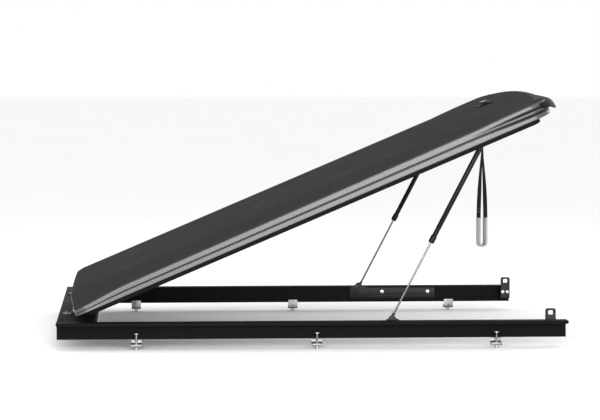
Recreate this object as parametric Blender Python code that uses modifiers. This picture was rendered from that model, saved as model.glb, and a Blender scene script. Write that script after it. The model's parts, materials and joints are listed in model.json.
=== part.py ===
"""Hinged one-piece tonneau cover for a short-bed pickup, raised on two gas struts.

The cover turns about a hinge line at the cab end. Two side rails and a front header clamp to the
bed and carry the hinges, the strut feet and the latch strikers.

World frame, in metres: X runs back from the hinge line, Y to the truck's right and Z up. The origin
is at mid-width under the hinge line, on the plane where the rails rest on the bed. Lid pieces are
placed in the lid's own frame, whose U, V and W are X, Y and Z with the lid shut, measured from the
hinge line. They hang open from the empty lid_pivot.
"""

import math

import bmesh
import bpy
from mathutils import Matrix, Vector

GAP = 0.0003
SIDES = {"left": -1, "right": 1}

# Hinge line and opening.
HINGE_Z = 0.030
LID_ANGLE = math.radians(23.0)
HINGE_OFFSET = 0.45
HINGE_WIDTH = 0.070
KNUCKLE = 0.032
KNUCKLE_RADIUS = 0.007
PIN_RADIUS = 0.004

# Lid outline and skin.
LID_FRONT = 0.0145
LID_REAR = 1.955
REAR_BOW = 0.030
LID_HALF_WIDTH = 0.840
FRONT_CORNER = 0.050
REAR_CORNER = 0.075
SKIN = 0.004
PLATEAU = 0.067
CROWN = 0.009
CREASE_INSET = 0.007
SMALLEST_CORNER = 0.006
# Rings of the skirt below the crease: inset from the lid's outline, share of the crease's height and drop.
SKIRT = ((0.003, 1.0, 0.004), (0.001, 0.62, 0.0), (0.003, 0.50, 0.0), (0.0005, 0.38, 0.0), (0.0, 0.0, 0.0))

# Section of the lip behind the trailing edge: out from the skin's rear wall and up from the hinge line.
LIP_SECTION = (
    (0.000, 0.034), (0.000, 0.052), (0.010, 0.053), (0.022, 0.047), (0.031, 0.034), (0.036, 0.017),
    (0.037, -0.001), (0.030, -0.002), (0.029, 0.014), (0.024, 0.028), (0.016, 0.037), (0.008, 0.040),
)
LIP_TAPER = 0.5

# Liner under the skin: a flange all round and a raised middle.
LINER = 0.003
LINER_INSET = SKIN + 0.002
FLANGE_WIDTH = 0.070
FLANGE_W = 0.003
PAN_SLOPE = 0.012
PAN_W = 0.028

# Seals under the liner's flange.
SEAL_HEIGHT = 0.0202
SEAL_WIDTH = 0.016
SEAL_V = 0.808
SEAL_FRONT = 0.055
SEAL_REAR = 1.895

# Rails and header.
RAIL_OUTER = 0.828
RAIL_FRONT = -0.060
RAIL_REAR = 1.868
RAIL_TOP = 0.012
RAIL_WIDTH = 0.062
RAIL_WALL = 0.004
RAIL_DROP = 0.055
LEDGE = 0.008
RAIL_INNER = RAIL_OUTER - RAIL_WIDTH
HEADER_REAR = 0.085
HEADER_DROP = 0.045

# Clamps that pull the rails down onto the lip of the bed.
CLAMP_STATIONS = (0.24, 0.92, 1.60)
CLAMP_LENGTH = 0.040
CLAMP_WALL = 0.0057
CLAMP_TOP = -0.042
CLAMP_ARM_TOP = -0.072
CLAMP_ARM_BOTTOM = -0.082
CLAMP_ARM_END = 0.030
CLAMP_BOLT_IN = 0.043
CLAMP_BOLT_RADIUS = 0.004
CLAMP_PAD_Z = -0.030
CLAMP_HEAD_Z = -0.092

# Gas struts: the foot pivot in X and Z, the head pivot in U and W.
STRUT_Y = 0.728
STRUT_FOOT = (1.206, 0.015)
STRUT_HEAD = (1.705, 0.010)
SOCKET_RADIUS = 0.010
SOCKET_WIDTH = 0.014
TUBE_RADIUS = 0.0095
TUBE_REACH = 0.456
ROD_RADIUS = 0.004
ROD_REACH = 0.382
ROD_BORE = 0.345
FOOT_PLATE = (1.170, 1.540)
FOOT_BOLTS = (1.31, 1.51)
FOOT_BOLT_Z = -0.012
FOOT_BOLT_RADIUS = 0.003

# Latch: a handle on top turns a cam that pushes a rod out to each side.
LATCH_U = 1.830
CAM_RADIUS = 0.020
CAM_TURN = math.radians(90.0)
LATCH_ROD_W = 0.006
LATCH_ROD_RADIUS = 0.004
LATCH_ROD_U = 0.017
LATCH_TIP = 0.751
STRIKER_Y = 0.738
GUIDE_V = 0.700
SHAFT_RADIUS = 0.006
GRIP_HALF = 0.055
LOCK_RADIUS = 0.008

# Pull strap, left of the middle of the bed.
STRAP_U = 1.700
STRAP_V = -0.660
STRAP_WIDTH = 0.025
STRAP_THICK = 0.0024
STRAP_LEG = 0.315
STRAP_SPREAD = 0.016
GRIP_HEIGHT = 0.112


def smooth(x, start, end):
    """0 before start, 1 after end, and an even ease between them."""
    t = min(max((x - start) / (end - start), 0.0), 1.0)
    return t * t * (3.0 - 2.0 * t)


def arc(centre, radius, start, end, steps):
    """Points along a round stretch of an outline, with its angles in degrees."""
    angles = [math.radians(start + (end - start) * k / steps) for k in range(steps + 1)]
    return [(centre[0] + radius * math.cos(a), centre[1] + radius * math.sin(a)) for a in angles]


def circle(centre, radius, steps=16):
    return arc(centre, radius, 0.0, 360.0, steps)[:-1]


def rectangle(x_low, x_high, y_low, y_high):
    return [(x_low, y_low), (x_high, y_low), (x_high, y_high), (x_low, y_high)]


def frame(origin, x_axis, y_axis):
    """The matrix that puts a flat outline's X and Y along two directions."""
    x = Vector(x_axis).normalized()
    y = Vector(y_axis).normalized()
    columns = Matrix((x, y, x.cross(y))).transposed().to_4x4()
    return Matrix.Translation(origin) @ columns


# ---- scene ----


def clear_scene():
    for obj in list(bpy.data.objects):
        bpy.data.objects.remove(obj, do_unlink=True)


def new_collection(name):
    collection = bpy.data.collections.new(name)
    bpy.context.scene.collection.children.link(collection)
    return collection


def new_material(name, colour, roughness, metallic=0.0):
    material = bpy.data.materials.new(name)
    material.use_nodes = True
    shader = material.node_tree.nodes["Principled BSDF"]
    shader.inputs["Base Color"].default_value = (*colour, 1.0)
    shader.inputs["Roughness"].default_value = roughness
    shader.inputs["Metallic"].default_value = metallic
    material.diffuse_color = (*colour, 1.0)
    return material


clear_scene()
COVER = new_collection("tonneau_cover")
CUTTERS = new_collection("cutters")
FINISHES = {
    "textured_skin": ((0.055, 0.055, 0.058), 0.65),
    "liner_plastic": ((0.030, 0.030, 0.031), 0.60),
    "seal_rubber": ((0.008, 0.008, 0.008), 0.80),
    "trim_plastic": ((0.012, 0.012, 0.013), 0.45),
    "black_metal": ((0.015, 0.015, 0.016), 0.40),
    "zinc_steel": ((0.620, 0.620, 0.600), 0.30, 1.0),
    "chrome_rod": ((0.780, 0.780, 0.780), 0.12, 1.0),
    "tube_paint": ((0.010, 0.010, 0.010), 0.30),
    "cast_alloy": ((0.550, 0.550, 0.560), 0.40, 1.0),
    "webbing": ((0.012, 0.012, 0.012), 0.85),
    "grip_grey": ((0.480, 0.480, 0.490), 0.55),
}


def keep(obj, name, finish, placement=Matrix(), parent=None):
    """Names the object, places it in its parent's frame and gives it a material of its own."""
    obj.name = name
    obj.data.name = name
    obj.data.materials.clear()
    obj.data.materials.append(new_material(name, *FINISHES[finish]))
    COVER.objects.link(obj)
    obj.parent = parent
    obj.matrix_basis = placement
    return obj


def pivot(name, placement, parent=None):
    """An empty on a joint's axis, which the moving pieces hang from."""
    empty = bpy.data.objects.new(name, None)
    COVER.objects.link(empty)
    empty.parent = parent
    empty.matrix_basis = placement
    return empty


# ---- shapes ----


def mesh_object(bm):
    mesh = bpy.data.meshes.new("shape")
    bm.to_mesh(mesh)
    bm.free()
    return bpy.data.objects.new("shape", mesh)


def box(low, high):
    bm = bmesh.new()
    bmesh.ops.create_cube(bm, size=1.0)
    low, high = Vector(low), Vector(high)
    bmesh.ops.scale(bm, vec=high - low, verts=bm.verts)
    bmesh.ops.translate(bm, vec=(low + high) / 2, verts=bm.verts)
    return mesh_object(bm)


def cylinder(radius, start, end, sides=16):
    """A round bar between two points."""
    start, end = Vector(start), Vector(end)
    turn = (end - start).to_track_quat("Z", "Y").to_matrix().to_4x4()
    bm = bmesh.new()
    bmesh.ops.create_cone(
        bm,
        cap_ends=True,
        segments=sides,
        radius1=radius,
        radius2=radius,
        depth=(end - start).length,
        matrix=Matrix.Translation((start + end) / 2) @ turn,
    )
    obj = mesh_object(bm)
    obj.data.shade_smooth()
    obj.data.set_sharp_from_angle(angle=math.radians(40))
    return obj


def plate(loops, thickness, placement=Matrix()):
    """A flat outline made solid: the first loop is its edge and the others are holes."""
    curve = bpy.data.curves.new("outline", "CURVE")
    curve.dimensions = "2D"
    curve.fill_mode = "BOTH"
    curve.extrude = thickness / 2
    for loop in loops:
        spline = curve.splines.new("POLY")
        spline.points.add(len(loop) - 1)
        for point, (x, y) in zip(spline.points, loop):
            point.co = (x, y, 0.0, 1.0)
        spline.use_cyclic_u = True
    outline = bpy.data.objects.new("outline", curve)
    CUTTERS.objects.link(outline)
    graph = bpy.context.evaluated_depsgraph_get()
    mesh = bpy.data.meshes.new_from_object(outline.evaluated_get(graph))
    bpy.data.objects.remove(outline, do_unlink=True)
    bm = bmesh.new()
    bm.from_mesh(mesh)
    bmesh.ops.remove_doubles(bm, verts=bm.verts, dist=0.00001)
    bmesh.ops.recalc_face_normals(bm, faces=bm.faces)
    bmesh.ops.transform(bm, matrix=placement, verts=bm.verts)
    return mesh_object(bm)


def turned(profile, steps=16):
    """A turned solid: the profile is radius and height, down the outer side."""
    bm = bmesh.new()
    points = [bm.verts.new((radius, 0.0, height)) for radius, height in profile]
    for a, b in zip(points, points[1:]):
        bm.edges.new((a, b))
    obj = mesh_object(bm)
    screw = obj.modifiers.new("turn", "SCREW")
    screw.axis = "Z"
    screw.steps = steps
    screw.render_steps = steps
    screw.use_merge_vertices = True
    screw.merge_threshold = 0.00001
    screw.use_smooth_shade = True
    return obj


def helper(obj, body):
    """Hides a cutter or a joined piece, and places it with the body that it works on."""
    obj.hide_render = True
    obj.display_type = "WIRE"
    CUTTERS.objects.link(obj)
    obj.parent = body.parent
    obj.matrix_basis = body.matrix_basis
    obj.name = f"{body.name}_tool"
    return obj


def combine(body, tools, operation):
    for tool in tools:
        boolean = body.modifiers.new(operation.lower(), "BOOLEAN")
        boolean.operation = operation
        boolean.solver = "EXACT"
        boolean.object = helper(tool, body)
    return body


def cut(body, *tools):
    return combine(body, tools, "DIFFERENCE")


def join(body, *tools):
    return combine(body, tools, "UNION")


# ---- lid outline ----

CORNER_STEPS = 4
LENGTH_STEPS = 12
ACROSS_STEPS = 12


def lid_rows(inset):
    """Stations down the lid, each the U of its ends and its half width, with the corners rounded."""
    front = LID_FRONT + inset
    rear = LID_REAR - inset
    half = LID_HALF_WIDTH - inset
    front_radius = max(FRONT_CORNER - inset, SMALLEST_CORNER)
    rear_radius = max(REAR_CORNER - inset, SMALLEST_CORNER)
    front_side = front + front_radius
    rear_side = rear - rear_radius
    rows = []
    for k in range(CORNER_STEPS + 1):
        a = math.radians(90.0 * (1 - k / CORNER_STEPS))
        across = half - front_radius * (1 - math.cos(a))
        rows.append((front_side - front_radius * math.sin(a), across))
    for k in range(1, LENGTH_STEPS):
        rows.append((front_side + (rear_side - front_side) * k / LENGTH_STEPS, half))
    for k in range(CORNER_STEPS + 1):
        a = math.radians(90.0 * k / CORNER_STEPS)
        across = half - rear_radius * (1 - math.cos(a))
        rows.append((rear_side + rear_radius * math.sin(a), across))
    return rows


def lid_point(rows, row, column):
    """U and V of one point of the lid's grid: columns crowd to the sides and the rear edge is bowed."""
    u, half = rows[row]
    s = 2.0 * column / ACROSS_STEPS - 1.0
    v = half * s * (1.4 - 0.4 * s * s)
    bow = REAR_BOW * (1.0 - (v / LID_HALF_WIDTH) ** 2) * smooth(u, 1.40, LID_REAR)
    return u + bow, v


def lid_loop(inset):
    """The lid's outline, once round."""
    rows = lid_rows(inset)
    last = len(rows) - 1
    right = [lid_point(rows, i, ACROSS_STEPS) for i in range(last)]
    rear = [lid_point(rows, last, j) for j in range(ACROSS_STEPS, 0, -1)]
    left = [lid_point(rows, i, 0) for i in range(last, 0, -1)]
    front = [lid_point(rows, 0, j) for j in range(ACROSS_STEPS)]
    return right + rear + left + front


def crease_height(u):
    """Height of the crease between top and skirt: low at the front corners, kicked up at the rear."""
    front = 0.014 * smooth(u, 0.0, 0.25)
    rear = 0.012 * smooth(u, 1.65, 1.93)
    return 0.025 + front + 0.016 * u / 1.70 + rear


def top_height(u, v):
    """Height of the top: a crowned plateau that falls to the crease along each side."""
    plateau = PLATEAU + CROWN * max(0.0, 1.0 - (v / 0.60) ** 2)
    shoulder = smooth(abs(v), 0.56, LID_HALF_WIDTH - CREASE_INSET)
    nose = 0.006 * smooth(u, 1.92, 1.985) + 0.005 * (1.0 - smooth(u, LID_FRONT, 0.05))
    return plateau * (1.0 - shoulder) + crease_height(u) * shoulder - nose


# ---- lid body ----

lid_pivot = pivot("lid_pivot", Matrix.Translation((0, 0, HINGE_Z)) @ Matrix.Rotation(-LID_ANGLE, 4, "Y"))


def drawn_edge(bm, edge, place, move):
    """Draws an open edge out once, and asks move where each new point goes, given the place above it."""
    made = bmesh.ops.extrude_edge_only(bm, edges=edge)["geom"]
    below = {}
    for vert in [g for g in made if isinstance(g, bmesh.types.BMVert)]:
        above = next(e.other_vert(vert) for e in vert.link_edges if e.other_vert(vert) in place)
        below[vert] = place[above]
        vert.co = move(place[above])
    place.update(below)
    return [g for g in made if isinstance(g, bmesh.types.BMEdge)]


def face_up(bm):
    """Turns an open surface's faces the same way, with the wide ones upwards."""
    bmesh.ops.recalc_face_normals(bm, faces=bm.faces)
    if sum(face.normal.z * face.calc_area() for face in bm.faces) < 0:
        bmesh.ops.reverse_faces(bm, faces=bm.faces)


def lid_skin():
    """A crowned top from a grid, with the skirt drawn down from its edge past a groove."""
    crease = lid_rows(CREASE_INSET)
    last = len(crease) - 1
    bm = bmesh.new()
    bmesh.ops.create_grid(bm, x_segments=last, y_segments=ACROSS_STEPS, size=1.0)
    place = {}
    top = {}
    for vert in bm.verts:
        row = round((vert.co.x + 1.0) / 2.0 * last)
        column = round((vert.co.y + 1.0) / 2.0 * ACROSS_STEPS)
        u, v = lid_point(crease, row, column)
        place[vert] = (row, column)
        top[row, column] = top_height(u, v)
        vert.co = (u, v, top[row, column])
    edge = [e for e in bm.edges if e.is_boundary]
    for inset, share, drop in SKIRT:
        rows = lid_rows(inset)
        edge = drawn_edge(
            bm, edge, place, lambda at: (*lid_point(rows, *at), top[at] * share - drop)
        )
    face_up(bm)
    skin = mesh_object(bm)
    skin.data.shade_smooth()
    skin.data.set_sharp_from_angle(angle=math.radians(35))
    keep(skin, "lid_skin", "textured_skin", parent=lid_pivot)
    wall = skin.modifiers.new("wall", "SOLIDIFY")
    wall.thickness = SKIN
    wall.offset = -1.0
    cut(skin, cylinder(SHAFT_RADIUS + 0.002, (LATCH_U, 0, 0.040), (LATCH_U, 0, 0.100)))


def lid_liner():
    """The panel that closes the lid from below: a flat flange, a slope and a flat raised middle."""
    bm = bmesh.new()
    ring = [bm.verts.new((u, v, FLANGE_W)) for u, v in lid_loop(LINER_INSET)]
    place = {vert: number for number, vert in enumerate(ring)}
    edge = [bm.edges.new((a, b)) for a, b in zip(ring, ring[1:] + ring[:1])]
    for inset, w in ((FLANGE_WIDTH, FLANGE_W), (FLANGE_WIDTH + PAN_SLOPE, PAN_W)):
        loop = lid_loop(LINER_INSET + inset)
        edge = drawn_edge(bm, edge, place, lambda number: (*loop[number], w))
    bmesh.ops.contextual_create(bm, geom=edge)
    face_up(bm)
    liner = keep(mesh_object(bm), "lid_liner", "liner_plastic", parent=lid_pivot)
    wall = liner.modifiers.new("wall", "SOLIDIFY")
    wall.thickness = LINER
    wall.offset = 1.0
    cut(liner, cylinder(SHAFT_RADIUS + 0.002, (LATCH_U, 0, 0.0), (LATCH_U, 0, 0.060)))


def seal_section():
    """A bulb seal's section: a flat foot at the top and a round bulb below."""
    top = FLANGE_W - GAP
    radius = SEAL_WIDTH / 2
    bottom = top - SEAL_HEIGHT + radius
    return [(radius, top), (-radius, top)] + arc((0.0, bottom), radius, 180.0, 360.0, 6)


def seals():
    side_length = SEAL_REAR + SEAL_WIDTH - SEAL_FRONT
    side_middle = SEAL_FRONT + side_length / 2
    for side, sign in SIDES.items():
        place = frame((side_middle, sign * SEAL_V, 0), (0, 1, 0), (0, 0, 1))
        bulb = plate([seal_section()], side_length, place)
        keep(bulb, f"seal_{side}", "seal_rubber", parent=lid_pivot)
    across = 2 * (SEAL_V - SEAL_WIDTH / 2 - GAP)
    for name, u in (("seal_front", SEAL_FRONT), ("seal_rear", SEAL_REAR)):
        place = frame((u + SEAL_WIDTH / 2, 0, 0), (1, 0, 0), (0, 0, 1))
        keep(plate([seal_section()], across, place), name, "seal_rubber", parent=lid_pivot)


def rear_lip():
    """The dark lip that hooks down behind the trailing edge: a section swept round it."""
    loop = lid_loop(-GAP)
    last = len(lid_rows(0.0)) - 1
    corner = CORNER_STEPS // 2
    path = loop[last - corner : last + ACROSS_STEPS + corner + 1]
    bm = bmesh.new()
    rings = []
    for k, (u, v) in enumerate(path):
        before = Vector(path[max(k - 1, 0)])
        after = Vector(path[min(k + 1, len(path) - 1)])
        along = (after - before).normalized()
        from_end = min(k, len(path) - 1 - k)
        reach = 1.0 - LIP_TAPER * max(0, corner - from_end) / corner
        out = Vector((-along.y, along.x)) * reach
        rings.append([bm.verts.new((u + out.x * n, v + out.y * n, w)) for n, w in LIP_SECTION])
    for ring, following in zip(rings, rings[1:]):
        for a in range(len(LIP_SECTION)):
            b = (a + 1) % len(LIP_SECTION)
            bm.faces.new((ring[a], ring[b], following[b], following[a]))
    bm.faces.new(rings[0])
    bm.faces.new(reversed(rings[-1]))
    bmesh.ops.recalc_face_normals(bm, faces=bm.faces)
    keep(mesh_object(bm), "rear_lip", "trim_plastic", parent=lid_pivot)


def hinge_leaf(side, sign):
    """The lid's half of a hinge: a plate up the front wall and the middle knuckle."""
    r = KNUCKLE_RADIUS
    back = LID_FRONT - GAP
    outline = arc((0, 0), r, 270.0, 30.0, 10) + [(back - LINER, r * 0.5), (back - LINER, 0.034)]
    outline += [(back, 0.034), (back, -r)]
    centre = sign * HINGE_OFFSET
    place = frame((0, centre, 0), (1, 0, 0), (0, 0, 1))
    blank = plate([outline], HINGE_WIDTH, place)
    leaf = keep(blank, f"hinge_leaf_{side}", "black_metal", parent=lid_pivot)
    end = HINGE_WIDTH / 2 + 0.01
    clear = back - LINER
    for away in (-1, 1):
        inner, outer = sorted((centre + away * KNUCKLE / 2, centre + away * end))
        cut(leaf, box((-0.02, inner, -0.02), (clear, outer, 0.02)))
    cut(leaf, cylinder(PIN_RADIUS + GAP, (0, centre - end, 0), (0, centre + end, 0)))


def head_bracket(side, sign):
    """Holds a strut's head under the lid: an angle plate and a stud that points inwards."""
    u, w = STRUT_HEAD
    top = PAN_W - GAP
    tab = STRUT_Y + SOCKET_WIDTH / 2 + 0.007
    thick = 0.003
    outline = [(tab, -0.004), (tab + thick, -0.004), (tab + thick, top)]
    outline += [(tab - 0.027, top), (tab - 0.027, top - thick), (tab, top - thick)]
    place = frame((u, 0, 0), (0, sign, 0), (0, 0, 1))
    bracket = keep(plate([outline], 0.060, place), f"head_bracket_{side}", "black_metal", parent=lid_pivot)
    stud = cylinder(0.005, (u, sign * (tab + thick / 2), w), (u, sign * (tab - 0.0065), w))
    join(bracket, stud)


def handle_bezel():
    outline = []
    for sign, start in ((1, 0.0), (-1, 180.0)):
        outline += arc((0.0, sign * 0.043), 0.032, start, start + 180.0, 10)
    top = top_height(LATCH_U, 0.0) + 0.0006
    place = Matrix.Translation((LATCH_U, 0, top + 0.0020))
    bezel = keep(plate([outline], 0.0040, place), "handle_bezel", "trim_plastic", parent=lid_pivot)
    cut(bezel, cylinder(SHAFT_RADIUS + 0.002, (LATCH_U, 0, 0.05), (LATCH_U, 0, 0.10)))


def latch_housing():
    """The open-bottomed box round the cam, with a way out for a rod on each side."""
    top = PAN_W - GAP
    low = (LATCH_U - 0.050, -0.055, -0.002)
    high = (LATCH_U + 0.050, 0.055, top)
    housing = keep(box(low, high), "latch_housing", "black_metal", parent=lid_pivot)
    wall = Vector((0.003, 0.003, 0.003))
    inner_low = Vector(low) + wall - Vector((0, 0, 0.01))
    inner_high = Vector(high) - wall
    cut(housing, box(inner_low, inner_high))
    cut(housing, cylinder(SHAFT_RADIUS + 0.002, (LATCH_U, 0, 0.0), (LATCH_U, 0, 0.05)))
    half = LATCH_ROD_RADIUS + 0.001
    for sign in SIDES.values():
        u = LATCH_U + sign * LATCH_ROD_U
        y_low, y_high = sorted((sign * 0.045, sign * 0.060))
        cut(housing, box((u - half, y_low, -0.01), (u + half, y_high, LATCH_ROD_W + half)))


def rod_guide(side, sign):
    u = LATCH_U + sign * LATCH_ROD_U
    top = PAN_W - GAP
    outline = rectangle(u - 0.014, u + 0.014, -0.003, top)
    hole = circle((u, LATCH_ROD_W), LATCH_ROD_RADIUS + GAP)
    place = frame((0, sign * GUIDE_V, 0), (1, 0, 0), (0, 0, 1))
    keep(plate([outline, hole], 0.018, place), f"rod_guide_{side}", "trim_plastic", parent=lid_pivot)


def strap_anchor():
    """A plate under the lid with a bar for the strap to hang from."""
    top = PAN_W - GAP
    bar = top - 0.013
    low = (STRAP_U - 0.015, STRAP_V - 0.030, top - 0.003)
    high = (STRAP_U + 0.015, STRAP_V + 0.030, top)
    anchor = keep(box(low, high), "strap_anchor", "black_metal", parent=lid_pivot)
    for away in (-1, 1):
        v = STRAP_V + away * 0.019
        ear_low = (STRAP_U - 0.005, v - 0.002, bar - 0.003)
        ear_high = (STRAP_U + 0.005, v + 0.002, top - 0.001)
        join(anchor, box(ear_low, ear_high))
    ends = [(STRAP_U, STRAP_V + away * 0.020, bar) for away in (-1, 1)]
    join(anchor, cylinder(0.002, *ends, sides=12))
    return bar


# ---- latch ----


def latch(handle_pivot):
    """The handle with its shaft, the cam under the lid and the lock cylinder in the handle."""
    base = top_height(LATCH_U, 0.0) + 0.0050
    blank = box((-0.011, -GRIP_HALF, base), (0.011, GRIP_HALF, base + 0.009))
    grip = keep(blank, "handle", "trim_plastic", parent=handle_pivot)
    edges = grip.modifiers.new("edges", "BEVEL")
    edges.width = 0.003
    edges.segments = 2
    join(grip, cylinder(0.014, (0, 0, base), (0, 0, base + 0.0098), sides=24))
    join(grip, cylinder(SHAFT_RADIUS, (0, 0, 0.0105), (0, 0, base + 0.002)))
    cut(grip, cylinder(LOCK_RADIUS + GAP, (0, 0, base + 0.003), (0, 0, base + 0.020), sides=24))
    lock_pivot = pivot("lock_pivot", Matrix.Translation((0, 0, base + 0.0033)), handle_pivot)
    profile = [(0, 0.007), (LOCK_RADIUS - 0.001, 0.007), (LOCK_RADIUS, 0.006), (LOCK_RADIUS, 0), (0, 0)]
    lock = turned(profile)
    keep(lock, "lock_cylinder", "zinc_steel", parent=lock_pivot)
    cut(lock, box((-0.0008, -0.0045, 0.004), (0.0008, 0.0045, 0.010)))
    # The pins start half the handle's turn short of the lid's length, and end as far past it.
    start = -CAM_TURN / 2
    pins = []
    for sign in SIDES.values():
        pins.append(Vector((sign * CAM_RADIUS * math.cos(start), sign * CAM_RADIUS * math.sin(start), 0)))
    along = pins[1].normalized()
    outline = []
    for sign, pin in ((1, pins[1]), (-1, pins[0])):
        heading = math.degrees(math.atan2(along.y, along.x)) + (0 if sign > 0 else 180)
        outline += arc((pin.x, pin.y), 0.008, heading - 90, heading + 90, 8)
    place = Matrix.Translation((0, 0, 0.014))
    hole = circle((0, 0), SHAFT_RADIUS + GAP)
    cam = keep(plate([outline, hole], 0.004, place), "cam", "zinc_steel", parent=handle_pivot)
    for pin in pins:
        join(cam, cylinder(0.003, (pin.x, pin.y, 0.001), (pin.x, pin.y, 0.0130), sides=12))


def latch_rod(side, sign, slide_pivot):
    """A round rod with a slotted yoke that the cam's pin works in. It starts drawn in."""
    u = sign * LATCH_ROD_U
    travel = 2.0 * CAM_RADIUS * math.sin(CAM_TURN / 2)
    tip = sign * (LATCH_TIP - travel)
    pin_v = -sign * CAM_RADIUS * math.sin(CAM_TURN / 2)
    bar = cylinder(LATCH_ROD_RADIUS, (u, pin_v + sign * 0.010, LATCH_ROD_W), (u, tip, LATCH_ROD_W))
    rod = keep(bar, f"latch_rod_{side}", "zinc_steel", parent=slide_pivot)
    low, high = sorted((pin_v - sign * 0.009, pin_v + sign * 0.014))
    join(rod, box((u - 0.011, low, 0.003), (u + 0.011, high, 0.009)))
    cut(rod, box((u - 0.0075, pin_v - 0.0045, 0.0), (u + 0.0075, pin_v + 0.0045, 0.012)))


def striker(side, sign):
    """An upright on the rail with a window for the latch rod."""
    u = LATCH_U + sign * LATCH_ROD_U
    x = u - GAP
    z = HINGE_Z + LATCH_ROD_W
    outline = [(x - 0.020, -0.042), (x + 0.020, -0.042), (x + 0.020, z + 0.010)]
    outline += [(x + 0.014, z + 0.015), (x - 0.014, z + 0.015), (x - 0.020, z + 0.010)]
    hole = rectangle(x - 0.009, x + 0.009, z - 0.009, z + 0.007)
    place = frame((0, sign * STRIKER_Y, 0), (1, 0, 0), (0, 0, 1))
    upright = keep(plate([outline, hole], 0.005, place), f"striker_{side}", "black_metal")
    near, far = sorted((sign * (STRIKER_Y + 0.001), sign * (RAIL_INNER - GAP)))
    join(upright, box((x - 0.0199, near, -0.0415), (x + 0.0199, far, 0.004)))


# ---- rails ----


def side_frame(sign, x):
    """Outlines for a side piece run inwards from the rail's outer edge and up."""
    return frame((x, sign * RAIL_OUTER, 0), (0, -sign, 0), (0, 0, 1))


def rail(side, sign):
    """A hollow top flange, a leaf down the inside of the bed and a ledge for the clamps."""
    leaf = RAIL_WIDTH - RAIL_WALL
    ledge_top = -RAIL_DROP + 0.006
    outline = [(0, 0), (leaf, 0), (leaf, -RAIL_DROP), (RAIL_WIDTH + LEDGE, -RAIL_DROP)]
    outline += [(RAIL_WIDTH + LEDGE, ledge_top), (RAIL_WIDTH, ledge_top), (RAIL_WIDTH, RAIL_TOP - 0.003)]
    outline += [(RAIL_WIDTH - 0.003, RAIL_TOP), (0.004, RAIL_TOP), (0, RAIL_TOP - 0.004)]
    hollow = rectangle(0.004, leaf - 0.002, 0.0028, RAIL_TOP - 0.0028)
    length = RAIL_REAR - RAIL_FRONT
    place = side_frame(sign, RAIL_FRONT + length / 2)
    body = keep(plate([outline, hollow], length, place), f"rail_{side}", "black_metal")
    for x in FOOT_BOLTS:
        near, far = sign * (RAIL_INNER - 0.01), sign * (RAIL_INNER + 0.02)
        cut(body, cylinder(FOOT_BOLT_RADIUS + GAP, (x, near, FOOT_BOLT_Z), (x, far, FOOT_BOLT_Z)))


def header():
    """The cross rail at the cab end, which the hinges stand on."""
    leaf = HEADER_REAR - RAIL_WALL
    outline = [(RAIL_FRONT, 0), (leaf, 0), (leaf, -HEADER_DROP), (HEADER_REAR, -HEADER_DROP)]
    outline += [(HEADER_REAR, RAIL_TOP), (RAIL_FRONT + 0.004, RAIL_TOP), (RAIL_FRONT, RAIL_TOP - 0.004)]
    wall = 0.0028
    front = rectangle(RAIL_FRONT + 0.004, -0.004, wall, RAIL_TOP - wall)
    rear = rectangle(0.004, leaf - wall, wall, RAIL_TOP - wall)
    place = frame((0, 0, 0), (1, 0, 0), (0, 0, 1))
    keep(plate([outline, front, rear], 2 * (RAIL_INNER - GAP), place), "header_rail", "black_metal")


def corner_bracket(side, sign):
    """Ties a rail to the header, inside the corner of the bed."""
    thick = 0.003
    x0 = HEADER_REAR + GAP
    y0 = RAIL_INNER - GAP
    outline = [(x0, y0), (x0, y0 - 0.080), (x0 + thick, y0 - 0.080)]
    outline += [(x0 + thick, y0 - thick), (x0 + 0.080, y0 - thick), (x0 + 0.080, y0)]
    place = frame((0, 0, -0.0225), (1, 0, 0), (0, sign, 0))
    keep(plate([outline], 0.035, place), f"corner_bracket_{side}", "black_metal")


def clamp(side, sign, number, x):
    """A C-shaped jaw hooked over the rail's ledge, and its bolt with a pad for the lip of the bed."""
    inner = RAIL_WIDTH + LEDGE + GAP
    outer = inner + CLAMP_WALL
    hook = -RAIL_DROP + 0.006 + GAP
    outline = [(RAIL_WIDTH + GAP, hook), (RAIL_WIDTH + GAP, CLAMP_TOP), (outer, CLAMP_TOP)]
    outline += [(outer, CLAMP_ARM_BOTTOM), (CLAMP_ARM_END, CLAMP_ARM_BOTTOM), (CLAMP_ARM_END, CLAMP_ARM_TOP)]
    outline += [(inner, CLAMP_ARM_TOP), (inner, hook)]
    jaw = keep(plate([outline], CLAMP_LENGTH, side_frame(sign, x)), f"clamp_{side}_{number}", "cast_alloy")
    y = sign * (RAIL_OUTER - CLAMP_BOLT_IN)
    bore = CLAMP_BOLT_RADIUS + GAP
    cut(jaw, cylinder(bore, (x, y, CLAMP_ARM_BOTTOM - 0.005), (x, y, CLAMP_ARM_TOP + 0.005)))
    r = CLAMP_BOLT_RADIUS
    head = CLAMP_ARM_BOTTOM - GAP
    profile = [(0, CLAMP_PAD_Z), (0.011, CLAMP_PAD_Z), (0.011, CLAMP_PAD_Z - 0.004)]
    profile += [(r, CLAMP_PAD_Z - 0.006), (r, head), (0.007, head), (0.007, CLAMP_HEAD_Z)]
    profile += [(0.003, CLAMP_HEAD_Z), (0.003, CLAMP_HEAD_Z + 0.004), (0, CLAMP_HEAD_Z + 0.004)]
    keep(turned(profile, 12), f"clamp_bolt_{side}_{number}", "zinc_steel", Matrix.Translation((x, y, 0)))


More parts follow.
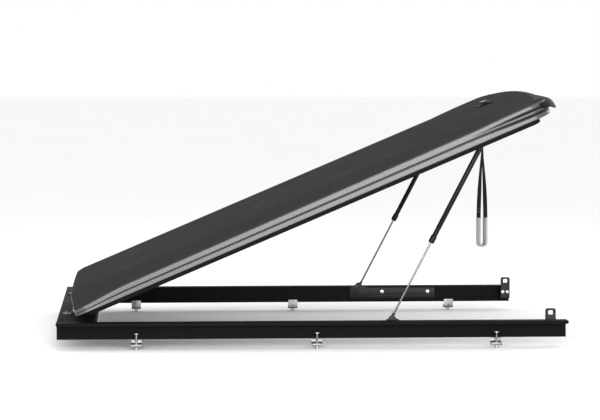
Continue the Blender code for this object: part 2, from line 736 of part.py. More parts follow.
def hinge_base(side, sign):
    """The header's half of a hinge: a foot and two knuckles, with the pin through them."""
    r = KNUCKLE_RADIUS
    foot = RAIL_TOP + GAP
    outline = [(-0.045, foot), (0.004, foot)] + arc((0, HINGE_Z), r, 0.0, 180.0, 8)
    outline += [(-0.010, foot + 0.0035), (-0.045, foot + 0.0035)]
    centre = sign * HINGE_OFFSET
    place = frame((0, centre, 0), (1, 0, 0), (0, 0, 1))
    base = keep(plate([outline], HINGE_WIDTH, place), f"hinge_base_{side}", "black_metal")
    half = KNUCKLE / 2 + GAP
    end = HINGE_WIDTH / 2
    cut(base, box((-0.0095, centre - half, foot + 0.0037), (0.02, centre + half, 0.06)))
    past = end + 0.01
    cut(base, cylinder(PIN_RADIUS + GAP, (0, centre - past, HINGE_Z), (0, centre + past, HINGE_Z)))
    pin_end = end + 0.002
    pin = cylinder(PIN_RADIUS, (0, centre - pin_end, HINGE_Z), (0, centre + pin_end, HINGE_Z))
    keep(pin, f"hinge_pin_{side}", "zinc_steel")


def foot_plate(side, sign):
    """Holds a strut's foot on the inner leaf of the rail, with two bolts behind it."""
    x0, x1 = FOOT_PLATE
    foot_x, foot_z = STRUT_FOOT
    outline = [(x0, -0.042), (x1, -0.042), (x1, 0.006), (foot_x + 0.040, 0.006)]
    outline += arc((foot_x, foot_z), 0.014, 20.0, 160.0, 8) + [(x0, 0.006)]
    holes = [circle((x, FOOT_BOLT_Z), FOOT_BOLT_RADIUS + GAP, 12) for x in FOOT_BOLTS]
    thick = 0.003
    outside = RAIL_INNER - GAP
    place = frame((0, sign * (outside - thick / 2), 0), (1, 0, 0), (0, 0, 1))
    body = keep(plate([outline, *holes], thick, place), f"foot_plate_{side}", "black_metal")
    inner = STRUT_Y + SOCKET_WIDTH / 2
    boss_start = (foot_x, sign * (outside - thick / 2), foot_z)
    join(body, cylinder(0.010, boss_start, (foot_x, sign * (inner + 0.008), foot_z)))
    join(body, cylinder(0.005, boss_start, (foot_x, sign * (inner + 0.0005), foot_z)))
    face = sign * (outside - thick - GAP)
    shank = sign * (RAIL_INNER + 0.006)
    for number, x in enumerate(FOOT_BOLTS, 1):
        z = FOOT_BOLT_Z
        head = cylinder(0.0065, (x, face, z), (x, face - sign * 0.005, z), sides=6)
        bolt = keep(head, f"foot_bolt_{side}_{number}", "zinc_steel")
        join(bolt, cylinder(FOOT_BOLT_RADIUS, (x, face - sign * 0.001, z), (x, shank, z), sides=12))


# ---- struts ----


def strut_line():
    """Length and slope of the open strut, from its foot on the rail to its head on the lid."""
    u, w = STRUT_HEAD
    head_x = u * math.cos(LID_ANGLE) - w * math.sin(LID_ANGLE)
    head_z = u * math.sin(LID_ANGLE) + w * math.cos(LID_ANGLE) + HINGE_Z
    rise = head_z - STRUT_FOOT[1]
    run = head_x - STRUT_FOOT[0]
    return math.hypot(rise, run), math.atan2(rise, run)


def socket(name, parent, towards):
    """An end socket: an eye across the pivot and a neck along the strut."""
    half = SOCKET_WIDTH / 2
    barrel = cylinder(SOCKET_RADIUS, (0, -half, 0), (0, half, 0), sides=20)
    eye = keep(barrel, name, "trim_plastic", parent=parent)
    join(eye, cylinder(0.006, (0, 0, 0), (towards, 0, 0)))


def strut(side, sign):
    """The rod turns on the rail, and the tube slides on the rod. Local X runs up the strut."""
    length, slope = strut_line()
    foot_x, foot_z = STRUT_FOOT
    lean = Matrix.Translation((foot_x, sign * STRUT_Y, foot_z)) @ Matrix.Rotation(-slope, 4, "Y")
    foot = pivot(f"strut_foot_{side}", lean)
    slider = pivot(f"strut_slider_{side}", Matrix.Translation((length, 0, 0)), foot)
    neck = 0.0225
    socket(f"foot_socket_{side}", foot, neck)
    rod = cylinder(ROD_RADIUS, (neck + GAP, 0, 0), (ROD_REACH, 0, 0))
    keep(rod, f"strut_rod_{side}", "chrome_rod", parent=foot)
    socket(f"head_socket_{side}", slider, -neck)
    top = -neck - GAP
    bottom = -TUBE_REACH
    bore = ROD_RADIUS + GAP
    gland = TUBE_RADIUS - 0.001
    profile = [(0, top), (0.006, top), (TUBE_RADIUS, top - 0.006), (TUBE_RADIUS, bottom + 0.020)]
    profile += [(gland, bottom + 0.018), (gland, bottom + 0.004), (0.007, bottom)]
    profile += [(bore, bottom), (bore, bottom + ROD_BORE), (0, bottom + ROD_BORE)]
    tube_frame = frame((0, 0, 0), (0, 0, -1), (0, 1, 0))
    keep(turned(profile, 20), f"strut_tube_{side}", "tube_paint", tube_frame, slider)


# ---- strap ----


def strap(bar_w):
    """Two webbing legs that hang from the anchor's bar, and the sleeve of the hand grip below them."""
    place = Matrix.Translation((STRAP_U, STRAP_V, bar_w)) @ Matrix.Rotation(LID_ANGLE, 4, "Y")
    hang = pivot("strap_pivot", place, lid_pivot)
    ring = 0.0058
    hole = circle((0, 0), 0.0034, 12)
    t = STRAP_THICK
    low = -STRAP_LEG
    spread = STRAP_SPREAD
    outline = arc((0, 0), ring, 0.0, 180.0, 10)
    outline += [(-ring, -0.010), (-spread - t / 2, low), (-spread + t / 2, low), (-0.0005, -0.035)]
    outline += [(0.0005, -0.035), (spread - t / 2, low), (spread + t / 2, low), (ring, -0.010)]
    upright = frame((0, 0, 0), (1, 0, 0), (0, 0, 1))
    webbing = plate([outline, hole], STRAP_WIDTH, upright)
    keep(webbing, "strap_webbing", "webbing", parent=hang)
    outer = spread + 0.0035
    inner = spread - 0.0025
    top = low - GAP
    centre = (0, top - GRIP_HEIGHT + outer)
    loop = arc(centre, outer, 180.0, 360.0, 10) + [(outer, top), (inner, top)]
    loop += arc(centre, inner, 360.0, 180.0, 10) + [(-inner, top), (-outer, top)]
    keep(plate([loop], STRAP_WIDTH + 0.002, upright), "strap_grip", "grip_grey", parent=hang)


def build():
    lid_skin()
    lid_liner()
    seals()
    rear_lip()
    handle_bezel()
    latch_housing()
    strap(strap_anchor())
    header()
    handle_pivot = pivot("handle_pivot", Matrix.Translation((LATCH_U, 0, 0)), lid_pivot)
    latch(handle_pivot)
    for side, sign in SIDES.items():
        slide_pivot = pivot(f"latch_rod_pivot_{side}", Matrix.Translation((LATCH_U, 0, 0)), lid_pivot)
        latch_rod(side, sign, slide_pivot)
        rod_guide(side, sign)
        striker(side, sign)
        hinge_leaf(side, sign)
        hinge_base(side, sign)
        head_bracket(side, sign)
        rail(side, sign)
        corner_bracket(side, sign)
        foot_plate(side, sign)
        strut(side, sign)
        for number, x in enumerate(CLAMP_STATIONS, 1):
            clamp(side, sign, number, x)


build()
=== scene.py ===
"""Finished look of a hinged one-piece tonneau cover, standing open on its two gas struts.

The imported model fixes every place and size. Each class below rebuilds one sub-assembly in finer
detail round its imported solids, and dresses it. Lid pieces are shaped in the lid's own frame, whose
U, V and W run back, right and up from the hinge line with the lid shut, and are then turned to
where the open lid hangs.
"""

import json
import logging
import math
from dataclasses import dataclass
from enum import Enum
from typing import Sequence

import bmesh
import bpy
from mathutils import Matrix, Vector


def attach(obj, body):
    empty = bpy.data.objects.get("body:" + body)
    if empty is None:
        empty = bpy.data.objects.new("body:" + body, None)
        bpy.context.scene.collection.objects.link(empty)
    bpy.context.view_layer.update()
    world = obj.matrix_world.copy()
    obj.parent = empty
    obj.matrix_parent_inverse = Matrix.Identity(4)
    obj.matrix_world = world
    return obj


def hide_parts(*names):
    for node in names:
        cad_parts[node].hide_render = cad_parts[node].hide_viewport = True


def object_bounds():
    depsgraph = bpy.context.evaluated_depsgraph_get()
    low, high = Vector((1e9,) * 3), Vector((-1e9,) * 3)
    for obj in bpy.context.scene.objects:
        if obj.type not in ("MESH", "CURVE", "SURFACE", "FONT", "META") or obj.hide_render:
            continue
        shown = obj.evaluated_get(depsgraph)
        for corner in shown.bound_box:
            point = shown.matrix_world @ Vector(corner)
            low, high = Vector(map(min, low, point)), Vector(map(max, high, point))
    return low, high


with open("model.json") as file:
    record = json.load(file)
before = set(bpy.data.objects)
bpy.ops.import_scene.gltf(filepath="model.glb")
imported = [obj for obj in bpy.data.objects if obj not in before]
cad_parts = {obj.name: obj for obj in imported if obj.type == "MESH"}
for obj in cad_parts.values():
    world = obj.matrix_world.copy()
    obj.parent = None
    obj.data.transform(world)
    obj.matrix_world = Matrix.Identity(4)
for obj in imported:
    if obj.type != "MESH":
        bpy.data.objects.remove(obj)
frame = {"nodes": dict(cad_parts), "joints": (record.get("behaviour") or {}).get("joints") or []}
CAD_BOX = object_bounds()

LOG = logging.getLogger("tonneau_cover")

Point = tuple[float, float]
Place = Sequence[float]
Colour = tuple[float, float, float]

JOINTS = {joint["name"]: joint for joint in frame["joints"]}
HINGE = Vector(JOINTS["lid_hinge"]["pos_m"])
OPEN_ANGLE = math.radians(-JOINTS["lid_hinge"]["range_deg"][0])
WORLD = Matrix()
LID = Matrix.Translation(HINGE) @ Matrix.Rotation(-OPEN_ANGLE, 4, "Y")
SHARP = math.radians(28.0)  # edges sharper than this are eased
SMOOTHED = math.radians(38.0)  # edges flatter than this are shaded smooth
EASE_SEGMENTS = 2
MERGE = 0.000002
GAP = 0.0004  # between touching pieces
WAVE_SCALE = 0.314  # a wave texture of this scale repeats about once a metre
ROD_LEVEL = 0.006  # the latch rods' height in the lid's frame


class Side(Enum):
    """A side of the truck, with its sign along Y."""

    LEFT = -1
    RIGHT = 1

    @property
    def word(self) -> str:
        """The side's name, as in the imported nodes."""
        return self.name.lower()


# ---- measuring ----


def box_in(node: str, place: Matrix = WORLD) -> tuple[Vector, Vector]:
    """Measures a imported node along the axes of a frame.

    Args:
        node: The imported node's name.
        place: The frame to measure in.

    Returns:
        The lowest and highest corners in that frame.
    """
    inverse = place.inverted()
    points = [inverse @ vertex.co for vertex in frame["nodes"][node].data.vertices]
    low = Vector([min(point[axis] for point in points) for axis in range(3)])
    high = Vector([max(point[axis] for point in points) for axis in range(3)])
    return low, high


def smooth(value: float, start: float, end: float) -> float:
    """Eases evenly from 0 at start to 1 at end."""
    share = min(max((value - start) / (end - start), 0.0), 1.0)
    return share * share * (3.0 - 2.0 * share)


def arc(centre: Point, radius: float, start: float, end: float, steps: int) -> list[Point]:
    """Lays points along a round stretch.

    Args:
        centre: The arc's centre.
        radius: Its radius.
        start: The first angle, in degrees.
        end: The last angle, in degrees.
        steps: How many chords it has.

    Returns:
        The points in order.
    """
    angles = [math.radians(start + (end - start) * k / steps) for k in range(steps + 1)]
    return [(centre[0] + radius * math.cos(a), centre[1] + radius * math.sin(a)) for a in angles]


def circle(radius: float, steps: int, centre: Point = (0.0, 0.0)) -> list[Point]:
    """Lays points once round a circle."""
    return arc(centre, radius, 0.0, 360.0, steps)[:-1]


def rounded(low: Point, high: Point, radius: float, steps: int = 4) -> list[Point]:
    """Lays points round a rectangle with round corners.

    Args:
        low: The lowest corner.
        high: The highest corner.
        radius: The corners' radius.
        steps: How many chords each corner has.

    Returns:
        The outline, anticlockwise.
    """
    (x0, y0), (x1, y1) = low, high
    corners = ((x1, y1, 0.0), (x0, y1, 90.0), (x0, y0, 180.0), (x1, y0, 270.0))
    outline = []
    for x, y, start in corners:
        inwards_x = math.copysign(radius, (x0 + x1) / 2 - x)
        inwards_y = math.copysign(radius, (y0 + y1) / 2 - y)
        outline += arc((x + inwards_x, y + inwards_y), radius, start, start + 90.0, steps)
    # where two corners meet, their shared point is kept once
    return [point for k, point in enumerate(outline) if math.dist(point, outline[k - 1]) > MERGE]


def axes(origin: Place, x_axis: Place, y_axis: Place) -> Matrix:
    """Builds a frame.

    Args:
        origin: Where it is.
        x_axis: The way its first axis points.
        y_axis: The way its second axis points.

    Returns:
        The frame.
    """
    x = Vector(x_axis).normalized()
    y = Vector(y_axis).normalized()
    turn = Matrix((x, y, x.cross(y))).transposed().to_4x4()
    return Matrix.Translation(Vector(origin)) @ turn


def facing(origin: Place, direction: Place) -> Matrix:
    """Builds a frame whose Z axis points along a direction."""
    turn = Vector(direction).to_track_quat("Z", "Y").to_matrix().to_4x4()
    return Matrix.Translation(Vector(origin)) @ turn


# ---- shader graphs ----


class Signal:
    """An output of a shader node; arithmetic on it adds the Math nodes."""

    def __init__(self, graph: "Graph", socket: bpy.types.NodeSocket) -> None:
        """Keeps the socket and the graph it belongs to."""
        self.graph = graph
        self.socket = socket

    def _math(self, operation: str, *values: "Signal | float") -> "Signal":
        """Adds one Math node."""
        return self.graph.node("ShaderNodeMath", {"operation": operation}, dict(enumerate(values)))

    def __add__(self, other: "Signal | float") -> "Signal":
        """Adds."""
        return self._math("ADD", self, other)

    def __sub__(self, other: "Signal | float") -> "Signal":
        """Subtracts."""
        return self._math("SUBTRACT", self, other)

    def __rsub__(self, other: "Signal | float") -> "Signal":
        """Subtracts from a number."""
        return self._math("SUBTRACT", other, self)

    def __mul__(self, other: "Signal | float") -> "Signal":
        """Multiplies."""
        return self._math("MULTIPLY", self, other)

    __radd__ = __add__
    __rmul__ = __mul__


class Graph:
    """The node tree of one material, with one way to add any node."""

    def __init__(self, name: str) -> None:
        """Starts a material with its principled shader.

        Args:
            name: The material's name.
        """
        self.material = bpy.data.materials.new(name)
        self.material.use_nodes = True
        self.tree = self.material.node_tree
        self.shader = self.tree.nodes["Principled BSDF"]
        self.place = self.node("ShaderNodeTexCoord", output="Object")

    def node(
        self, kind: str, settings: dict | None = None, inputs: dict | None = None, output: int | str = 0
    ) -> Signal:
        """Adds a node.

        Args:
            kind: The node's type.
            settings: Its own settings; "stops" fills a colour ramp.
            inputs: A value or a signal for each named or numbered socket.
            output: The socket that is handed back.

        Returns:
            The chosen output.
        """
        made = self.tree.nodes.new(kind)
        for key, value in (settings or {}).items():
            if key == "stops":
                made.color_ramp.elements[0].position, made.color_ramp.elements[1].position = value
            else:
                setattr(made, key, value)
        for key, value in (inputs or {}).items():
            self.feed(made.inputs[key], value)
        return Signal(self, made.outputs[output])

    def feed(self, socket: bpy.types.NodeSocket, value: "Signal | float | Sequence[float]") -> None:
        """Links a signal to a socket, or sets its value.

        Args:
            socket: The socket.
            value: A signal, or a plain value.
        """
        if isinstance(value, Signal):
            self.tree.links.new(value.socket, socket)
        else:
            socket.default_value = value

    def noise(self, size: float, detail: float = 3.0) -> Signal:
        """Adds soft noise whose lumps are about one size, in metres."""
        inputs = {"Vector": self.place, "Scale": 1.0 / size, "Detail": detail}
        return self.node("ShaderNodeTexNoise", {}, inputs)

    def cells(self, size: float) -> Signal:
        """Adds pebbled cells of about one size, in metres."""
        inputs = {"Vector": self.place, "Scale": 1.0 / size}
        return self.node("ShaderNodeTexVoronoi", {"feature": "SMOOTH_F1"}, inputs)

    def waves(self, size: float, direction: str) -> Signal:
        """Adds straight waves across an axis.

        Args:
            size: The distance from crest to crest, in metres.
            direction: The axis that they cross.

        Returns:
            Their height, 0 to 1.
        """
        settings = {"wave_type": "BANDS", "bands_direction": direction}
        inputs = {"Vector": self.place, "Scale": WAVE_SCALE / size}
        return self.node("ShaderNodeTexWave", settings, inputs, output="Fac")

    def ramp(self, value: Signal, start: float, end: float) -> Signal:
        """Stretches a signal from start to end over 0 to 1."""
        return self.node("ShaderNodeValToRGB", {"stops": (start, end)}, {0: value})

    def blend(self, share: "Signal | float", first: "Signal | Colour", second: "Signal | Colour") -> Signal:
        """Mixes two colours.

        Args:
            share: How much of the second there is.
            first: The colour at 0.
            second: The colour at 1.

        Returns:
            The mixed colour.
        """
        pair = [value if isinstance(value, Signal) else (*value, 1.0) for value in (first, second)]
        inputs = {0: share, 6: pair[0], 7: pair[1]}
        return self.node("ShaderNodeMix", {"data_type": "RGBA"}, inputs, output=2)

    def raise_by(self, height: Signal, depth: float) -> None:
        """Feeds a height, 0 to 1, through a bump of a depth in metres."""
        bump = self.node("ShaderNodeBump", {}, {"Height": height, "Distance": depth, "Strength": 1.0})
        self.feed(self.shader.inputs["Normal"], bump)

    def dress(self, **values: "Signal | float | Sequence[float]") -> bpy.types.Material:
        """Feeds the shader's sockets.

        Args:
            values: What goes into each socket, whose name is written with underscores.

        Returns:
            The finished material.
        """
        for key, value in values.items():
            self.feed(self.shader.inputs[key.replace("_", " ").title().replace("Ior", "IOR")], value)
        return self.material


# ---- finishes ----


def tone(colour: Colour, share: float) -> Colour:
    """Lightens or darkens a colour."""
    return tuple(min(part * share, 1.0) for part in colour)


@dataclass(frozen=True)
class Finish:
    """A moulded or coated surface with faint blotches and a fine grain.

    Attributes:
        slot: The record's material slot; not used.
        colour: The mean colour.
        roughness: The mean roughness.
        metallic: 1 for bare metal.
        patch: The size of its blotches, in metres.
        spread: How far the blotches change its colour and gloss.
        grain: The size of its grain, in metres.
        depth: The grain's depth, in metres.
        shine: The strength of its reflections.
    """

    slot: str
    colour: Colour
    roughness: float
    metallic: float = 0.0
    patch: float = 0.06
    spread: float = 0.12
    grain: float = 0.0012
    depth: float = 0.00004
    shine: float = 0.5

    def height(self, graph: Graph) -> Signal:
        """The grain: fine noise with some larger lumps."""
        return graph.noise(self.grain) * 0.7 + graph.noise(self.grain * 4.0) * 0.3

    def tint(self, graph: Graph) -> tuple[Signal, Signal]:
        """Colour and roughness, varied by slow noise.

        Args:
            graph: The graph to build in.

        Returns:
            The two signals.
        """
        share = graph.ramp(graph.noise(self.patch, 5.0), 0.3, 0.7)
        dark, light = tone(self.colour, 1.0 - self.spread), tone(self.colour, 1.0 + self.spread)
        rough = share * (self.roughness * self.spread) + self.roughness * (1.0 - self.spread / 2.0)
        return graph.blend(share, dark, light), rough

    def material(self, name: str) -> bpy.types.Material:
        """Builds the finish as a material.

        Args:
            name: The material's name.

        Returns:
            The material.
        """
        graph = Graph(name)
        colour, rough = self.tint(graph)
        graph.raise_by(self.height(graph), self.depth)
        return graph.dress(
            base_color=colour, roughness=rough, metallic=self.metallic, specular_ior_level=self.shine
        )


@dataclass(frozen=True)
class GrainedSkin(Finish):
    """The lid's skin: pebbled on top and smoother down the skirt.

    Attributes:
        skirt_colour: The skirt's own near-black, lightened as painted reflection of the lights.
        skirt_roughness: Its roughness.
        groove_colour: The painted shade deep in its grooves.
        peak_colour: The lighter colour on the grain's peaks.
        coat: The weight of the skirt's glossy coat.
        coat_roughness: The coat's roughness.
    """

    # lighter than the top: the skirt's own black with painted reflection mixed into its colour
    skirt_colour: Colour = (0.052, 0.052, 0.054)
    skirt_roughness: float = 0.40
    # painted shade: the skirt's colour deep in its grooves, where shade falls
    groove_colour: Colour = (0.012, 0.012, 0.013)
    peak_colour: Colour = (0.034, 0.034, 0.0355)
    coat: float = 0.62
    coat_roughness: float = 0.22

    def material(self, name: str) -> bpy.types.Material:
        """Builds the skin, whose top, skirt and grooves are told apart by the mesh's own values.

        Args:
            name: The material's name.

        Returns:
            The material.
        """
        graph = Graph(name)
        skirt = graph.node("ShaderNodeAttribute", {"attribute_name": "skirt"}, output="Fac")
        hollow = graph.node("ShaderNodeAttribute", {"attribute_name": "hollow"}, output="Fac")
        patches, rough = self.tint(graph)
        pebbles = graph.cells(self.grain) * 0.6 + graph.noise(self.grain * 3.0, 4.0) * 0.4
        colour = graph.blend(graph.ramp(pebbles, 0.25, 0.75), patches, self.peak_colour)
        graph.raise_by(pebbles * (1.0 - skirt * 0.85), self.depth)
        # the grooves' painted shade, blended in by the hollow value, their depth share
        below = graph.blend(hollow, self.skirt_colour, self.groove_colour)
        return graph.dress(
            base_color=graph.blend(skirt, colour, below),
            roughness=rough * (1.0 - skirt) + skirt * self.skirt_roughness,
            coat_weight=skirt * (1.0 - hollow * 0.85) * self.coat,
            coat_roughness=self.coat_roughness,
            specular_ior_level=self.shine,
        )


@dataclass(frozen=True)
class BareMetal(Finish):
    """Plated or ground metal, whose grain is fine and even, without larger lumps."""

    def height(self, graph: Graph) -> Signal:
        """The grain: fine noise of one size."""
        return graph.noise(self.grain, 2.0)


@dataclass(frozen=True)
class Woven(Finish):
    """Cloth with threads that cross.

    Attributes:
        warp: The spacing of the threads that run down the cloth, in metres.
        weft: The spacing of those that cross it.
    """

    warp: float = 0.0016
    weft: float = 0.0012

    def material(self, name: str) -> bpy.types.Material:
        """Builds the cloth: rows of threads with painted shade where they dive and painted highlight on
        their crests, over random tone.

        Args:
            name: The material's name.

        Returns:
            The material.
        """
        graph = Graph(name)
        across = graph.waves(self.warp, "Y")
        down = graph.waves(self.weft, "Z")
        weave = across * down
        share = weave * 0.7 + graph.noise(0.004) * 0.5
        graph.raise_by(weave, self.depth)
        # painted shade in the weave's dips and painted highlight on its crests, with noise for random tone
        colour = graph.blend(share, tone(self.colour, 0.45), tone(self.colour, 1.35))
        rough = self.roughness + weave * -0.1
        return graph.dress(
            base_color=colour, roughness=rough, sheen_weight=0.05, specular_ior_level=self.shine
        )


FINISHES: dict[str, Finish] = {
    "grained_skin": GrainedSkin(
        "lid_skin", (0.017, 0.017, 0.0178), 0.80, patch=0.16, spread=0.25, grain=0.0022, depth=0.0007,
        shine=0.03,
    ),
    "liner_panel": Finish(
        "lid_liner", (0.022, 0.022, 0.023), 0.60, grain=0.0016, depth=0.00020, shine=0.35
    ),
    "seal_rubber": Finish("seal_rubber", (0.004, 0.004, 0.004), 0.80, spread=0.3, grain=0.0006, shine=0.1),
    "trim_plastic": Finish(
        "trim_plastic", (0.004, 0.004, 0.004), 0.60, grain=0.0009, depth=0.00006, shine=0.12
    ),
    "gloss_trim": Finish(
        "trim_plastic", (0.004, 0.004, 0.005), 0.30, grain=0.0060, depth=0.00001, shine=0.2
    ),
    "socket_plastic": Finish(
        "socket_plastic", (0.008, 0.008, 0.009), 0.45, grain=0.0008, depth=0.00003, shine=0.3
    ),
    "plated_steel": BareMetal("zinc_steel", (0.38, 0.38, 0.37), 0.30, 1.0, 0.02, 0.18, 0.0008, 0.00001),
    "cast_alloy": Finish("clamp_alloy", (0.22, 0.22, 0.23), 0.45, 1.0, 0.03, 0.15, 0.0010, 0.00012),
    "rail_coat": Finish(
        "rail_coat", (0.003, 0.003, 0.0035), 0.62, patch=0.25, grain=0.0022, depth=0.00012, shine=0.06
    ),
    "black_steel": Finish(
        "black_steel", (0.006, 0.006, 0.007), 0.42, grain=0.0015, depth=0.00008, shine=0.15
    ),
    "strut_paint": Finish(
        "strut_paint", (0.003, 0.003, 0.003), 0.32, grain=0.0030, depth=0.00001, shine=0.12
    ),
    "ground_rod": BareMetal("strut_rod", (0.15, 0.15, 0.16), 0.16, 1.0, 0.05, 0.10, 0.0010, 0.000004),
    "webbing": Woven("webbing", (0.006, 0.006, 0.006), 0.80, depth=0.00025, shine=0.1),
    "grip_sleeve": Woven("grip_sleeve", (0.30, 0.30, 0.31), 0.62, depth=0.00018, warp=0.0024, weft=0.0024),
}
MATERIALS: dict[str, bpy.types.Material] = {}


def material(finish: str) -> bpy.types.Material:
    """Gives a finish's material, built the first time it is asked for.

    Args:
        finish: The finish's name.

    Returns:
        The material.
    """
    if finish not in MATERIALS:
        MATERIALS[finish] = FINISHES[finish].material(finish)
    return MATERIALS[finish]


# ---- shaping ----


def drawn(bm: bmesh.types.BMesh, edges: list) -> tuple[list, list]:
    """Draws a row of edges out into a strip of faces that still lies on them.

    Args:
        bm: The mesh.
        edges: The row to draw from.

    Returns:
        The new row's points and its edges.
    """
    made = bmesh.ops.extrude_edge_only(bm, edges=edges)["geom"]
    points = [item for item in made if isinstance(item, bmesh.types.BMVert)]
    return points, [item for item in made if isinstance(item, bmesh.types.BMEdge)]


def drawn_from(vert: bmesh.types.BMVert, known: dict) -> bmesh.types.BMVert:
    """Finds which known point a new one was drawn out of."""
    return next(edge.other_vert(vert) for edge in vert.link_edges if edge.other_vert(vert) in known)


def turn_up(bm: bmesh.types.BMesh) -> None:
    """Turns an open shell's faces the same way, with its broad side facing up.

    Args:
        bm: The mesh.
    """
    bmesh.ops.recalc_face_normals(bm, faces=bm.faces)
    if sum(face.normal.z * face.calc_area() for face in bm.faces) < 0:
        bmesh.ops.reverse_faces(bm, faces=bm.faces)


class Work:
    """A mesh in the making, to which eased parts are added one by one."""

    def __init__(self, place: Matrix = WORLD) -> None:
        """Starts an empty mesh whose own frame is place."""
        self.bm = bmesh.new()
        self.place = place

    def add(self, part: bmesh.types.BMesh, place: Matrix = WORLD, ease: float = 0.0) -> "Work":
        """Takes a closed part in, with its sharp edges eased and its faces turned out.

        Args:
            part: The part, which is used up.
            place: Where it goes in this mesh's frame.
            ease: The width taken off its sharp edges.

        Returns:
            This mesh, so that calls can be chained.
        """
        bmesh.ops.remove_doubles(part, verts=part.verts, dist=MERGE)
        bmesh.ops.recalc_face_normals(part, faces=part.faces)
        if ease:
            edges = [e for e in part.edges if len(e.link_faces) == 2 and e.calc_face_angle() > SHARP]
            bmesh.ops.bevel(
                part, geom=edges, offset=ease, offset_type="OFFSET", segments=EASE_SEGMENTS, profile=0.5,
                affect="EDGES", clamp_overlap=True, material=-1,
            )
        bmesh.ops.transform(part, matrix=place, verts=part.verts)
        if place.determinant() < 0:
            bmesh.ops.reverse_faces(part, faces=part.faces)
        mesh = bpy.data.meshes.new("part")
        part.to_mesh(mesh)
        part.free()
        self.bm.from_mesh(mesh)
        bpy.data.meshes.remove(mesh)
        return self

    def block(self, low: Place, high: Place, ease: float = 0.0, place: Matrix = WORLD) -> "Work":
        """Adds a box.

        Args:
            low: One corner.
            high: The opposite corner.
            ease: The width taken off its edges.
            place: The frame of the corners.

        Returns:
            This mesh.
        """
        low, high = Vector(map(min, low, high)), Vector(map(max, low, high))
        part = bmesh.new()
        size = Matrix.Diagonal((*(high - low), 1.0))
        bmesh.ops.create_cube(part, size=1.0, matrix=Matrix.Translation((low + high) / 2) @ size)
        return self.add(part, place, ease)

    def bar(
        self, start: Place, end: Place, radius: float, ease: float = 0.0, sides: int = 32,
        place: Matrix = WORLD,
    ) -> "Work":
        """Adds a round or many-sided bar between two points.

        Args:
            start: The middle of its first end.
            end: The middle of its last end.
            radius: Its radius.
            ease: The width taken off its rims.
            sides: How many sides it has.
            place: The frame of its two ends.

        Returns:
            This mesh.
        """
        start, end = Vector(start), Vector(end)
        length = (end - start).length
        part = bmesh.new()
        bmesh.ops.create_cone(
            part, cap_ends=True, segments=sides, radius1=radius, radius2=radius, depth=length,
            matrix=Matrix.Translation((0, 0, length / 2)),
        )
        return self.add(part, place @ facing(start, end - start), ease)

    def plate(
        self, loops: Sequence[Sequence[Point]], thick: float, place: Matrix = WORLD, ease: float = 0.0
    ) -> "Work":
        """Adds a flat outline made solid, half of it each side of its plane.

        Args:
            loops: The outline, then any holes.
            thick: The plate's thickness.
            place: The frame of the outline.
            ease: The width taken off its edges.

        Returns:
            This mesh.
        """
        part = bmesh.new()
        edges = []
        for loop in loops:
            ring = [part.verts.new((x, y, -thick / 2)) for x, y in loop]
            edges += [part.edges.new(pair) for pair in zip(ring, ring[1:] + ring[:1])]
        bmesh.ops.triangle_fill(part, use_beauty=True, use_dissolve=False, edges=edges)
        made = bmesh.ops.extrude_face_region(part, geom=part.faces[:])["geom"]
        top = [item for item in made if isinstance(item, bmesh.types.BMVert)]
        bmesh.ops.translate(part, vec=(0, 0, thick), verts=top)
        return self.add(part, place, ease)

    def turned(self, profile: Sequence[Point], place: Matrix = WORLD, sides: int = 32) -> "Work":
        """Adds a turned shape.

        Args:
            profile: Its radius and height at each point, spun round Z.
            place: The frame it is turned in.
            sides: How many sides it has.

        Returns:
            This mesh.
        """
        part = bmesh.new()
        points = [part.verts.new((radius, 0.0, height)) for radius, height in profile]
        edges = [part.edges.new(pair) for pair in zip(points, points[1:])]
        bmesh.ops.spin(
            part, geom=points + edges, cent=(0, 0, 0), axis=(0, 0, 1), angle=math.tau, steps=sides,
            use_merge=True,
        )
        return self.add(part, place)

    def sweep(
        self, section: Sequence[Point], places: Sequence[Matrix], closed: bool = False, ease: float = 0.0
    ) -> "Work":
        """Adds a closed section drawn along a row of frames.

        Args:
            section: The section, in each frame's XY plane.
            places: The frames in order.
            closed: True where the row comes back to its start.
            ease: The width taken off its sharp edges.

        Returns:
            This mesh.
        """
        part = bmesh.new()
        ring = [part.verts.new(places[0] @ Vector((x, y, 0.0))) for x, y in section]
        first = [part.edges.new(pair) for pair in zip(ring, ring[1:] + ring[:1])]
        edges = first
        for before, after in zip(places, places[1:]):
            points, edges = drawn(part, edges)
            bmesh.ops.transform(part, matrix=after @ before.inverted(), verts=points)
        if closed:
            bmesh.ops.bridge_loops(part, edges=first + edges)
        else:
            for rim in (first, edges):
                bmesh.ops.contextual_create(part, geom=rim)
        return self.add(part, WORLD, ease)

    def hex_bolt(self, at: Place, out: Place, size: float, washer: bool = True) -> "Work":
        """Adds a hexagon head, and its washer, standing out from a face.

        Args:
            at: The point on the face.
            out: The way the head stands out.
            size: The thread's radius.
            washer: False for a bare head.

        Returns:
            This mesh.
        """
        place = facing(at, out)
        low = 0.0
        if washer:
            low = size * 0.35
            self.bar((0, 0, 0), (0, 0, low), size * 2.3, low * 0.3, 32, place)
        self.bar((0, 0, low), (0, 0, low + size * 1.2), size * 1.85, size * 0.16, 6, place)
        return self

    def piece(self, name: str, finish: str, body: str, *nodes: str) -> bpy.types.Object:
        """Makes the mesh a piece of the model.

        Args:
            name: The piece's name.
            finish: The name of its finish.
            body: The body that it moves with.
            nodes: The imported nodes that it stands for.

        Returns:
            The piece.
        """
        bmesh.ops.transform(self.bm, matrix=self.place, verts=self.bm.verts)
        mesh = bpy.data.meshes.new(name)
        self.bm.to_mesh(mesh)
        self.bm.free()
        mesh.shade_smooth()
        mesh.set_sharp_from_angle(angle=SMOOTHED)
        mesh.materials.append(material(finish))
        obj = bpy.data.objects.new(name, mesh)
        bpy.context.scene.collection.objects.link(obj)
        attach(obj, body)
        if nodes:
            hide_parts(*nodes)
        LOG.info("%s: %d faces, on %s", name, len(mesh.polygons), body)
        return obj


